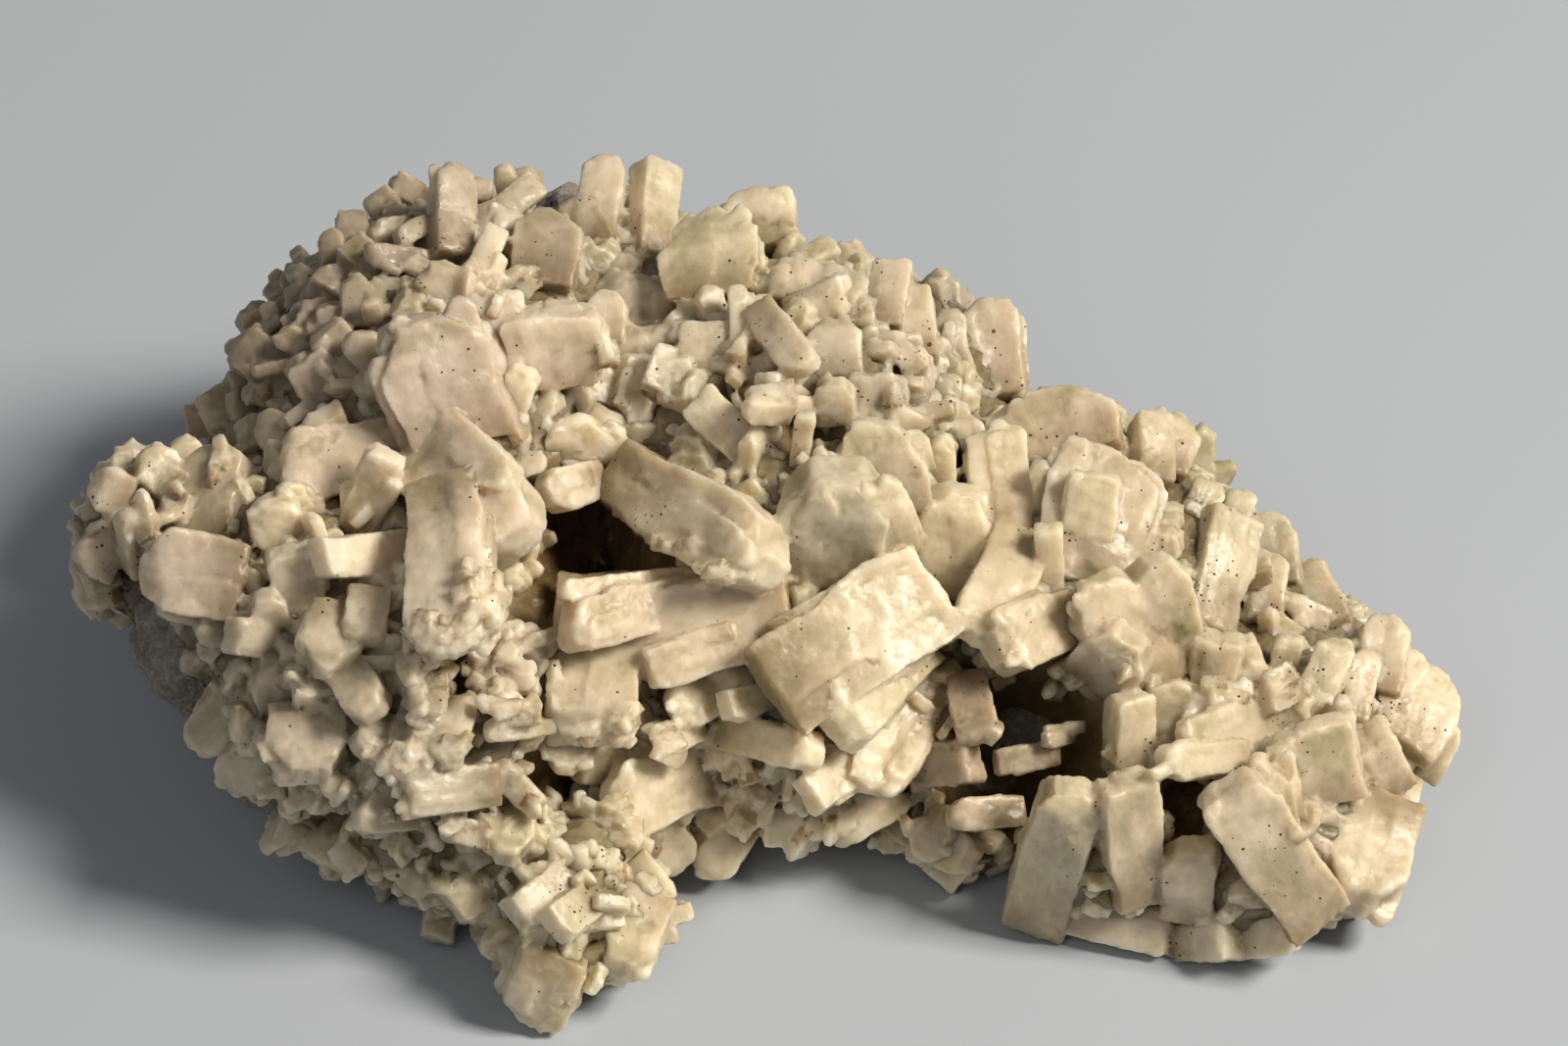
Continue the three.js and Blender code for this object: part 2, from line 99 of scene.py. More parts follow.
# Crystals by region: root across and down, tip across and down, width, thickness, how far the tip
# stands out, roll in degrees, kind of end and, for some, how far the root stands out.
LEFT_CENTRE = [
    (46.8, 45.5, 42.3, 32.2, 11, 6, 8, 10, "round"),
    (54, 44.5, 47.5, 32.5, 6, 2, 4, 60, "chisel"),
    (43.5, 46, 53.5, 55, 9.5, 8, 10, 0, "round"),
    (45.5, 50, 46.5, 66, 8, 6.5, 9, 10, "right"),
    (36.3, 54.5, 39.5, 46, 4, 3, 6, 0, "square"),
    (42.8, 56, 32.2, 57.2, 4.2, 3.5, 6, 0, "square"),
    (36.5, 54, 36, 49, 2.6, 2, 4, 0, "chisel"),
    (37.5, 60.5, 37, 65.5, 4.5, 3, 3, 0, "left"),
    (34.5, 62.5, 33, 69, 6, 4, 4, 0, "point"),
    (41, 46, 28, 47.5, 7, 3, 4, 0, "left"),
]
LEFT_END = [
    (13.5, 51, 9.4, 49, 5, 5, 3, 0, "round"),
    (17.5, 50, 14.5, 46, 5, 4.5, 3, 20, "round"),
    (12, 57, 8, 55, 5.5, 4, 3, 0, "left"),
    (14.5, 58, 13.5, 52, 3.6, 3, 4, 30, "chisel"),
    (12, 60, 8.5, 60.5, 4, 3, 2, 0, "square"),
    (21.5, 55.5, 22, 45.5, 6.5, 4, 5, -20, "round"),
    (25, 59.5, 14.5, 57.5, 8.5, 7, 5, 0, "left"),
    (22.5, 45.5, 22.3, 39.5, 3, 2.5, 2, 0, "round"),
    (20.5, 44, 19.8, 41.3, 2.8, 2, 1, 0, "square"),
    (20.5, 47.5, 18, 44.8, 3.4, 2.6, 2, 0, "round"),
    (31, 62.5, 29.5, 56, 5, 3, 3, 0, "square"),
    (30, 55, 26.5, 51, 6, 4, 3, 0, "left"),
    (28, 63.5, 26.8, 60.3, 3.5, 3, 2, 0, "round"),
    (24, 64, 20, 65, 3, 2.6, 2, 0, "round"),
    (28, 65.5, 23.5, 64.8, 3.6, 3, 3, 0, "square"),
    (32, 45.5, 26.5, 43.5, 4.4, 3, 3, 0, "round"),
    (26, 46.5, 22, 40, 4.6, 3.5, 1, 0, "square"),
]
UPPER_LEFT = [
    (29.5, 40, 24.8, 40.3, 2, 2, 3, 0, "round"),
    (29, 39, 24, 34.5, 5, 3, 2, 0, "right"),
    (28.5, 38.5, 27.5, 34, 5, 3, 4, 0, "point"),
    (26.5, 33.5, 25, 31.5, 4, 3, 2, 0, "round"),
    (28.5, 34.5, 27.2, 31, 2.2, 2, 3, 0, "round"),
    (32, 34.5, 31.7, 30.5, 2.5, 2.5, 2, 20, "square"),
    (33.8, 34, 33.5, 31, 2.6, 2.2, 2, 0, "square"),
    (31.5, 30.5, 29.8, 29.8, 2.8, 2, 1, 0, "round"),
    (36.5, 33.5, 36.3, 28, 3.2, 2.5, 3, 0, "point"),
    (38.3, 33, 38, 30.5, 1.8, 1.6, 3, 0, "round"),
    (34.5, 27.5, 33.5, 24, 2.8, 3, 2, 0, "round"),
    (36, 25, 36, 22, 3.5, 3, 1, 0, "square"),
    (42, 23.5, 37.8, 24.3, 3.4, 2, 3, 0, "round"),
    (43.5, 22.8, 40.5, 24.5, 2, 2, 3, 0, "round"),
    (43.5, 26.5, 37, 26, 2.6, 2.5, 4, 0, "round"),
    (40, 22, 38.5, 20, 3.5, 3, 2, 0, "square"),
    (43.5, 20, 39.8, 18.8, 2.2, 2, 1, 0, "round"),
    (46, 26.5, 46.2, 17.5, 4.3, 4, 3, 25, "round"),
    (48.5, 21, 48.8, 18.3, 3.2, 3, 3, 0, "round"),
    (48.5, 23, 54.5, 18.8, 3.2, 3, 3, 0, "square"),
    (47, 31.5, 50.8, 23.5, 2.6, 2.4, 4, 0, "square"),
    (44.5, 32, 46.5, 27, 4, 3, 2, 0, "chisel"),
    (42, 33, 42.3, 30.3, 4, 3, 2, 0, "round"),
    (51.8, 19.5, 51.6, 17, 2.6, 2, 1, 0, "round"),
    (54, 19.5, 54.2, 17.3, 2.8, 2, 1, 0, "round"),
    (35, 36, 33, 33.5, 4.5, 3, 3, 0, "square"),
    (39, 38, 36, 34, 4, 3, 3, 0, "left"),
    (34, 41, 31, 36.5, 5, 3, 3, 0, "square"),
    (50.5, 26, 52.3, 21.5, 3, 2.5, 2, 0, "round"),
    (53.5, 26.5, 54.6, 22.5, 2.8, 2.4, 2, 0, "square"),
]
TOP_CENTRE = [
    (55, 30, 56.3, 21.5, 7, 5, 6, 0, "point"),
    (60.5, 25, 61.8, 16.5, 4.6, 4, 2, 0, "round"),
    (61.5, 25.5, 58.5, 20.5, 4.5, 4, 3, 0, "chisel"),
    (66.5, 26.5, 66.8, 17, 4.6, 4, 3, 35, "square"),
    (77.5, 26, 76.5, 20, 7, 5, 2, 0, "round"),
    (74, 22.5, 73.6, 21, 3, 2, 1, 0, "round"),
    (72.8, 31, 72, 22.2, 10, 6, 4, 0, "point"),
    (75.5, 39.5, 75.3, 29.3, 2, 3, 5, 0, "chisel"),
    (77.5, 31.5, 82.3, 38, 4, 3, 4, 0, "left"),
    (80.5, 31, 81.5, 26.8, 4.3, 3, 3, 0, "square"),
    (50.5, 36, 50.5, 29.5, 5.5, 4, 3, 0, "round"),
    (57, 39, 56, 31.5, 10, 6, 5, 0, "square"),
    (61.8, 35, 62.2, 29.5, 4, 3, 4, 0, "round"),
    (66, 34.5, 65.5, 28, 4.5, 3, 2, 0, "point"),
    (66, 36.5, 65.5, 33.3, 5, 3, 3, 0, "chisel"),
    (64, 43, 65.5, 36, 3.5, 2.5, 4, 30, "square"),
    (68.5, 41, 68.5, 36.5, 4, 2.5, 3, 0, "square"),
    (60, 48, 59.5, 42.3, 9, 3, 3, 0, "point"),
    (61, 49, 55.5, 50.5, 4.5, 4, 2, 0, "round"),
    (52, 42, 53.5, 37.5, 3.6, 3, 2, 0, "chisel"),
    (72, 39, 72, 33, 5, 3, 2, 0, "square"),
]
CENTRE = [
    (63.5, 48.5, 79, 57.5, 8, 7, 8, 0, "right", 2),
    (77.5, 47, 71, 40.5, 4.5, 3, 3, 0, "square"),
    (73.5, 60.5, 57.5, 64, 5, 5, 6, 0, "left"),
    (61.5, 60, 60.2, 74.8, 9.5, 6, 6, 0, "square"),
    (80, 60.5, 64.5, 64.5, 6.5, 5, 9, 0, "left", 2),
    (79.5, 64, 66, 68.5, 4.5, 5, 8, 0, "square", 2),
    (79, 70.5, 95.5, 60, 10.5, 6, 8, 0, "square", 5),
    (93, 66, 85, 74.5, 6.5, 5, 6, 0, "chisel"),
    (74, 74.5, 83.5, 77, 4, 4, 6, 0, "round"),
    (73, 70, 69, 73, 4.5, 3, 5, 0, "round"),
    (71.5, 74, 67.5, 75.5, 3, 2.5, 4, 0, "square"),
    (78.5, 71, 74, 72, 3, 2.5, 5, 0, "square"),
    (72, 79, 62, 82.5, 7.5, 4, 6, 0, "round"),
    (76.5, 83.5, 71, 89.5, 4.5, 3, 3, 0, "point"),
    (84.5, 58, 85.5, 48, 11, 8, 7, 0, "round"),
    (91, 56, 88, 49.5, 6, 4, 9, 0, "point"),
    (90.5, 52, 89.5, 43.3, 9, 3, 4, 0, "round"),
    (96.5, 60, 97.5, 49.5, 7, 6, 7, 0, "right"),
    (102.5, 56, 101.5, 43.5, 6, 5, 6, 0, "right"),
    (104, 55, 99.5, 65.5, 6.5, 5, 7, 0, "chisel"),
    (107, 53, 106, 47, 2.6, 2.5, 6, 0, "round"),
    (107, 60, 107, 53.5, 3, 3, 5, 0, "square"),
    (109, 63, 101, 66.5, 6.5, 5, 7, 0, "round"),
]
RIGHT_LOBE = [
    (108.5, 47.5, 106, 40.2, 13, 4, 4, 0, "round"),
    (110.5, 60, 113, 45.5, 11.5, 4.5, 6, 0, "left"),
    (110, 57.5, 112, 48, 5.5, 3, 8, 0, "square"),
    (117.5, 49.5, 117.3, 42.6, 4, 4, 4, 20, "square"),
    (118.5, 48.5, 120.5, 42.5, 5, 4.5, 5, 0, "point"),
    (121.5, 53, 123.8, 49.3, 3.5, 3, 3, 0, "round"),
    (125.5, 54, 127, 50, 3, 2.6, 2, 0, "point"),
    (122.5, 65, 125.5, 52.5, 6, 5, 5, 25, "square"),
    (129, 64, 129.2, 56.5, 4.2, 3, 5, 0, "round"),
    (130.5, 60, 129.5, 52.5, 4.3, 3.5, 3, 0, "left"),
    (136.5, 64, 133, 57.5, 3.8, 3.5, 3, 0, "chisel"),
    (140.5, 71, 141.5, 63, 4.8, 3, 2, 0, "left"),
    (133.5, 73, 136.5, 65, 4.2, 4.2, 6, 0, "round"),
    (138, 74, 139.5, 66.5, 3, 3, 5, 0, "round"),
    (136.8, 76, 137, 71, 1.8, 1.8, 5, 0, "round"),
    (142.5, 76, 146.8, 68.5, 8, 2.5, 2, 0, "left"),
    (145.3, 79.5, 148.6, 73.6, 3, 2.5, 3, 0, "square"),
    (142, 80, 139.5, 75, 5, 4, 4, 0, "square"),
    (144.3, 79.5, 143.3, 83, 2, 2, 2, 0, "round"),
    (141, 82, 138, 92.5, 8.5, 7, 5, 0, "round"),
    (135.5, 81.5, 133.5, 74, 8, 3, 6, 0, "square"),
    (132, 72.5, 120.5, 75.3, 3.8, 2.5, 6, 0, "chisel"),
    (126.5, 77, 118.3, 77.8, 3.6, 3, 7, 0, "round"),
    (130, 85, 128.5, 77, 6.5, 3.5, 5, 0, "point"),
    (134.5, 94, 125, 80.2, 7, 5, 7, 0, "square", 3),
    (116, 92, 114.8, 79.5, 5.8, 4.5, 6, 15, "square"),
    (105.5, 94, 109.7, 80, 7, 5, 6, 0, "round"),
    (107.5, 92.5, 119.5, 95.5, 5, 4, 3, 0, "square"),
    (119.5, 96, 126, 96, 3.6, 3, 1, 0, "square"),
    (126, 96, 132, 95, 3.6, 3, 1, 0, "square"),
    (121, 93, 122, 86, 6, 4, 3, 0, "round"),
    (104.5, 82.5, 96.8, 83.2, 3.4, 3, 3, 0, "round"),
    (91, 83, 99.5, 88.5, 4.5, 3, 2, 0, "chisel"),
    (93, 86, 98, 90, 3, 2.6, 2, 0, "square"),
    (115, 78.5, 115.3, 70.7, 4.4, 4, 5, 25, "square"),
    (112, 69, 115.5, 64.5, 7, 5, 6, 0, "round"),
    (120, 68.5, 109.5, 59.5, 7.5, 4, 6, 0, "point"),
    (120, 67.5, 117, 57, 7.5, 4, 7, 0, "right"),
    (123.5, 70.5, 124.5, 65, 5, 4, 5, 0, "square"),
    (128, 69, 126.5, 65.5, 3, 2.6, 4, 0, "square"),
    (131, 68.5, 131.5, 65, 3, 2.6, 4, 0, "chisel"),
    (132.5, 70, 129, 71.5, 3, 2.4, 4, 0, "square"),
    (131.5, 71, 122.5, 71.5, 3.2, 3, 5, 0, "square"),
    (118, 75, 121, 69.5, 5, 3, 5, 0, "round"),
    (108, 76.5, 101.5, 77.8, 2.6, 2.4, 1, 0, "square"),
    (109.5, 75, 106.5, 75.5, 1.6, 1.6, 2, 0, "square"),
]
LOWER_MIDDLE = [
    (98.5, 69, 100, 75.5, 4.2, 3, 5, 0, "round"),
    (93.5, 78, 99.5, 77.5, 4.5, 3, 3, 0, "square"),
    (95, 70, 88, 81, 6, 4, 5, 0, "right"),
    (90, 76, 82.5, 81.5, 4.5, 3.5, 6, 0, "square"),
    (91.5, 80, 84.5, 85.5, 5, 4, 5, 0, "round"),
    (66, 84, 69.5, 88, 5, 4, 4, 0, "round"),
    (78, 79.5, 75.5, 84, 4, 3, 3, 0, "chisel"),
    (80, 82, 80, 86, 4, 3, 2, 0, "square"),
    (94, 83, 95.5, 88, 4, 3, 2, 0, "round"),
]
UPPER_RIGHT = [
    (90, 33.5, 91, 27, 4.4, 3.5, 3, 0, "square"),
    (102, 41, 100.5, 31, 6.5, 5, 3, 0, "right"),
    (94, 37, 93, 29.5, 4, 3, 2, 0, "chisel"),
    (97.5, 38, 96.8, 31.5, 3.5, 3, 2, 0, "round"),
    (85.5, 39, 85.3, 32, 6, 3.5, 3, 0, "round"),
    (85.5, 33, 86, 27.5, 5, 3, 2, 0, "left"),
    (93, 41.5, 94, 36, 3, 2.5, 3, 0, "chisel"),
    (97.3, 41.5, 97.2, 38.3, 2.4, 2, 3, 0, "round"),
    (89, 43, 89, 38, 5, 4, 2, 0, "square"),
    (85.2, 43, 85.2, 39, 4, 3, 3, 0, "round"),
    (84.5, 41.5, 77.5, 41, 1.8, 2, 4, 0, "chisel"),
    (81.3, 48, 82.2, 42, 2.2, 2, 5, 0, "square"),
    (95.5, 42.5, 90.5, 42.5, 2, 2, 3, 0, "square"),
    (96, 50.5, 95.8, 44.8, 3.6, 3, 4, 0, "point"),
    (100, 47, 98.5, 42.5, 3.4, 3, 3, 0, "chisel"),
]
LOWER_LEFT = [
    (22.5, 70, 20, 76.5, 3, 2, 3, 30, "round"),
    (24.5, 70.5, 22.6, 77, 3, 2, 3, 30, "round"),
    (27, 71, 25, 77, 3.4, 2.6, 3, 0, "round"),
    (28.5, 72, 27.5, 68.5, 4.5, 3, 2, 0, "round"),
    (34, 71.5, 30.5, 70.3, 3, 2.4, 3, 0, "round"),
    (35.5, 68.5, 38.3, 73, 4.5, 4, 4, 0, "round"),
    (41.2, 66.5, 41.8, 69.3, 1.8, 1.6, 5, 0, "point"),
    (31.5, 72.5, 31.8, 79.5, 8, 5, 4, 0, "round"),
    (29.5, 74, 29.3, 79.8, 2.8, 3, 6, 0, "round"),
    (40, 74, 36.8, 76.8, 3.5, 3, 3, 0, "round"),
    (42, 72.5, 40.3, 79, 2.8, 3, 4, 0, "square"),
    (46.5, 72, 42.8, 77.8, 5, 3, 4, 0, "round"),
    (47.2, 72, 45.8, 77.5, 3, 3, 4, 0, "round"),
    (44.5, 68.5, 42.5, 72.5, 3.5, 3, 4, 0, "chisel"),
    (42.5, 82.5, 36, 83, 4.5, 3, 3, 0, "left"),
    (50.5, 80, 40.8, 81, 4.5, 4, 4, 0, "square", 1),
    (49, 85, 45, 84.5, 3, 3, 3, 0, "round"),
    (52.5, 82, 51.5, 87.5, 4.5, 3.5, 4, 0, "round"),
    (51, 78.5, 55, 82.5, 2.6, 2.5, 4, 0, "square"),
    (58.5, 74.5, 57.7, 78.7, 4, 3, 2, 0, "round"),
    (53.5, 72.5, 50.7, 72.5, 1.8, 1.8, 4, 0, "round"),
    (56.5, 74, 49.5, 75, 1.8, 1.8, 3, 0, "round"),
    (57.5, 89.5, 52.5, 93.5, 4, 4, 3, 0, "square"),
    (60, 92, 56.5, 94.5, 4, 3, 3, 0, "square"),
    (66, 92, 63, 99, 6, 5, 2, 0, "round"),
    (57, 97, 54, 104, 7.5, 6, 1, 0, "round"),
    (64.5, 87.5, 68, 92, 3.5, 3, 2, 0, "left"),
    (50, 89.5, 46, 92.5, 4.5, 3, 2, 0, "square"),
    (44, 88, 41, 91, 4, 3, 1, 0, "round"),
    (37, 86, 34.5, 88.5, 4, 3, 1, 0, "round"),
    (25.5, 69.5, 20.5, 76.5, 5, 3.5, 2, 20, "round"),
    (28, 74, 23.5, 80.5, 5, 3.5, 1, 0, "round"),
    (57, 96, 54, 103, 7.5, 6, 1, 0, "round"),
]

# Ends of crystals: how far back from the tip the taper starts, as a part of the width, how wide
# and thick the end is, and how far it is shifted to one side.
ENDS = {
    "square": (0.1, 0.86, 0.8, 0.0),
    "chisel": (0.26, 0.6, 0.4, 0.0),
    "point": (0.5, 0.16, 0.5, 0.0),
    "round": (0.36, 0.45, 0.6, 0.0),
    "left": (0.34, 0.4, 0.65, -0.5),
    "right": (0.34, 0.4, 0.65, 0.5),
}
ROOT_LIFT = -2.0
WARP = 1.1
WARP_SCALE = 0.15
ROOT_NARROWING = 0.94
MOST_BACK = math.tan(math.radians(30))
MOST_OUT = math.tan(math.radians(42))
STEEP = 0.97

rng = np.random.default_rng(2718)


def unit(v):
    return v / max(np.linalg.norm(v), 1e-9)


def plane_point(across, down):
    """A point of the measuring plane, in mm."""
    return MIDDLE + RIGHT * (across - PLANE_MIDDLE[0]) + PLANE_UP * (PLANE_MIDDLE[1] - down)


def lump_of(row):
    """The middle and radii of a lump, its middle at the given height on its line of sight."""
    across, down, height = row[:3]
    seen = plane_point(across, down)
    reach = (height - EYE[2]) / (seen[2] - EYE[2])
    return EYE + (seen - EYE) * reach, np.array(row[3:], float)


crust_lumps = [lump_of(row) for row in CRUST_LUMPS]
rock_lumps = [lump_of(row) for row in ROCK_LUMPS]


def on_crust(across, down, out):
    """Where the line of sight through a point of the plane meets the crust, moved out by some mm."""
    to_plane = plane_point(across, down) - EYE
    hits = []
    for middle, radii in crust_lumps:
        start = (EYE - middle) / radii
        along = to_plane / radii
        a = along @ along
        b = start @ along
        inside = b * b - a * (start @ start - 1)
        reach = (-b - math.sqrt(inside)) / a if inside > 0 else -b / a
        hits.append((max(0.0, -inside / a), reach))
    miss = min(hit[0] for hit in hits)
    reach = min(hit[1] for hit in hits if hit[0] <= miss)
    return EYE + to_plane * (reach - out / EYE_DISTANCE)


def ends_of(row):
    """Root and tip of a listed crystal."""
    lift = row[9] if len(row) > 9 else ROOT_LIFT
    root = on_crust(row[0], row[1], lift)
    tip = on_crust(row[2], row[3], row[6])
    along = tip - root
    depth = along @ PLANE_OUT
    flat = np.linalg.norm(along - depth * PLANE_OUT)
    towards_eye = unit(EYE - root)
    tip = tip + towards_eye * max(0.0, -flat * MOST_BACK - depth)
    root = root + towards_eye * max(0.0, depth - flat * MOST_OUT)
    return root, tip


def crystal_axes(root, tip, roll):
    """Across, through and along directions of a crystal, and its length."""
    along = tip - root
    long = np.linalg.norm(along)
    along = along / long
    facing = np.array([0.0, 0.0, 1.0]) if abs(along @ PLANE_OUT) > STEEP else PLANE_OUT
    side = unit(np.cross(along, facing))
    angle = math.radians(roll)
    side = side * math.cos(angle) + np.cross(along, side) * math.sin(angle)
    return side, np.cross(side, along), along, long


# ---------- masters


def clear_selection():
    bpy.ops.object.select_all(action="DESELECT")
    bpy.context.view_layer.objects.active = None


def cut(point, normal):
    """Cut away what lies beyond a plane and close the cut."""
    bpy.ops.mesh.select_all(action="SELECT")
    bpy.ops.mesh.bisect(
        plane_co=point, plane_no=normal, use_fill=True, clear_inner=False, clear_outer=True
    )


def score(point, normal):
    """An edge all round, with nothing cut away."""
    bpy.ops.mesh.select_all(action="SELECT")
    bpy.ops.mesh.bisect(plane_co=point, plane_no=normal, use_fill=False)


def blade(low, high, front, back, end, stop, shift, bevel, segments, rings):
    """One blade of a crystal: x from low to high, y from back to front, z from 0 to its cut end."""
    taper, ridge, thin, skew = ENDS[end]
    clear_selection()
    bpy.ops.mesh.primitive_cube_add(size=1, location=((low + high) / 2, (front + back) / 2, 0.85))
    piece = bpy.context.active_object
    piece.scale = (high - low, front - back, 1.7)
    bpy.ops.object.transform_apply(location=True, rotation=False, scale=True)
    bpy.ops.object.mode_set(mode="EDIT")
    for turn in (-1, 1):
        tip_x = 0.5 * (turn * ridge + skew * (1 - ridge)) + shift
        run = abs(turn * 0.5 + shift - tip_x)
        cut((turn * 0.5 + shift, 0, 1.0 + stop), (turn * taper, 0, run))
        cut((0, turn * 0.5, 1.0 + stop), (0, turn * taper, 0.5 * (1 - thin)))
    cut((0, 0, 1.0 + taper + stop), (shift * 0.6, 0.04, 1))
    for k in range(rings):
        score((0, 0, (k + 1) / (rings + 0.4)), (0, 0, 1))
    bpy.ops.object.mode_set(mode="OBJECT")
    if bevel > 0:
        edge = piece.modifiers.new("edges", "BEVEL")
        edge.width = bevel
        edge.segments = segments
        edge.limit_method = "ANGLE"
        edge.angle_limit = math.radians(20)
        bpy.ops.object.modifier_apply(modifier=edge.name)
    return piece


def taken(pieces):
    """Vertices and triangles of some pieces together, which are then deleted."""
    points, triangles, start = [], [], 0
    for piece in pieces:
        clear_selection()
        bpy.context.view_layer.objects.active = piece
        piece.select_set(True)
        bpy.ops.object.mode_set(mode="EDIT")
        bpy.ops.mesh.select_all(action="SELECT")
        bpy.ops.mesh.quads_convert_to_tris()
        bpy.ops.mesh.normals_make_consistent(inside=False)
        bpy.ops.object.mode_set(mode="OBJECT")
        mesh = piece.data
        place = np.empty(len(mesh.vertices) * 3)
        mesh.vertices.foreach_get("co", place)
        corner = np.empty(len(mesh.loops), int)
        mesh.loops.foreach_get("vertex_index", corner)
        points.append(place.reshape(-1, 3))
        triangles.append(corner.reshape(-1, 3) + start)
        start += len(mesh.vertices)
        bpy.data.objects.remove(piece)
        bpy.data.meshes.remove(mesh)
    return np.concatenate(points), np.concatenate(triangles)


def bundle(end, blades, bevel, segments, rings, steps):
    """A master crystal of width 1 and thickness 1: parallel blades that end at slightly different lengths."""
    marks = np.linspace(-0.5, 0.5, blades + 1)
    marks[1:-1] += rng.uniform(-0.3, 0.3, blades - 1) / blades
    pieces = []
    for k in range(blades):
        low = max(-0.5, marks[k] - 0.12)
        high = min(0.5, marks[k + 1] + 0.12)
        front = 0.5 - rng.uniform(0, steps)
        back = -0.5 + rng.uniform(0, steps)
        stop = -rng.uniform(0, steps) if blades > 1 else 0
        shift = rng.uniform(-0.03, 0.03)
        pieces.append(blade(low, high, front, back, end, stop, shift, bevel, segments, rings))
    points, triangles = taken(pieces)
    return points, triangles


def masters(blades, bevel, segments, rings, steps, kinds):
    made = {}
    for end in ENDS:
        made[end] = [bundle(end, blades[k % len(blades)], bevel, segments, rings, steps) for k in range(kinds)]
    return made


large = masters((3, 4, 2, 5), 0.03, 1, 5, 0.06, 4)
medium = masters((2, 1, 3), 0.04, 1, 2, 0.08, 3)
small = masters((1,), 0.0, 1, 0, 0.0, 3)


# ---------- placing


def smooth_step(values, low, high):
    t = np.clip((values - low) / (high - low), 0, 1)
    return t * t * (3 - 2 * t)


def grown(master, root, tip, wide, thick, roll, ragged=0.0):
    """A master set between root and tip: its points in mm, its triangles and its own frame."""
    points, triangles = master
    side, face, along, long = crystal_axes(root, tip, roll)
    reach = points[:, 2].max() - 1
    taper = min(reach * wide, long * 0.6)
    shaft = long - taper
    z = np.where(points[:, 2] < 1, points[:, 2] * shaft, shaft + (points[:, 2] - 1) / max(reach, 1e-6) * taper)
    narrowing = ROOT_NARROWING + (1 - ROOT_NARROWING) * np.clip(z / long * 1.6, 0, 1)
    local = np.stack([points[:, 0] * wide * narrowing, points[:, 1] * thick * narrowing, z], 1)
    if ragged:
        local += rng.normal(0, ragged, local.shape) * np.array([wide, thick, wide])
    axes = np.stack([side, face, along])
    world = root + local @ axes
    if wide > 2.0:
        warp = [noise.noise_vector(p) for p in (world * WARP_SCALE).tolist()]
        world = world + np.array(warp) * min(WARP, wide * 0.12)
    return world, triangles, (root, axes, wide, thick, long)


SKIN_VOXEL = 0.28
MOST_TRIANGLES = {"crystals_back": 84000}
FRONT_TRIANGLES = 178000
DENTS = [(1.0, 0.2), (3.4, 0.6)]
low_corner, high_corner = np.array(solid_box[0]) / MM, np.array(solid_box[1]) / MM


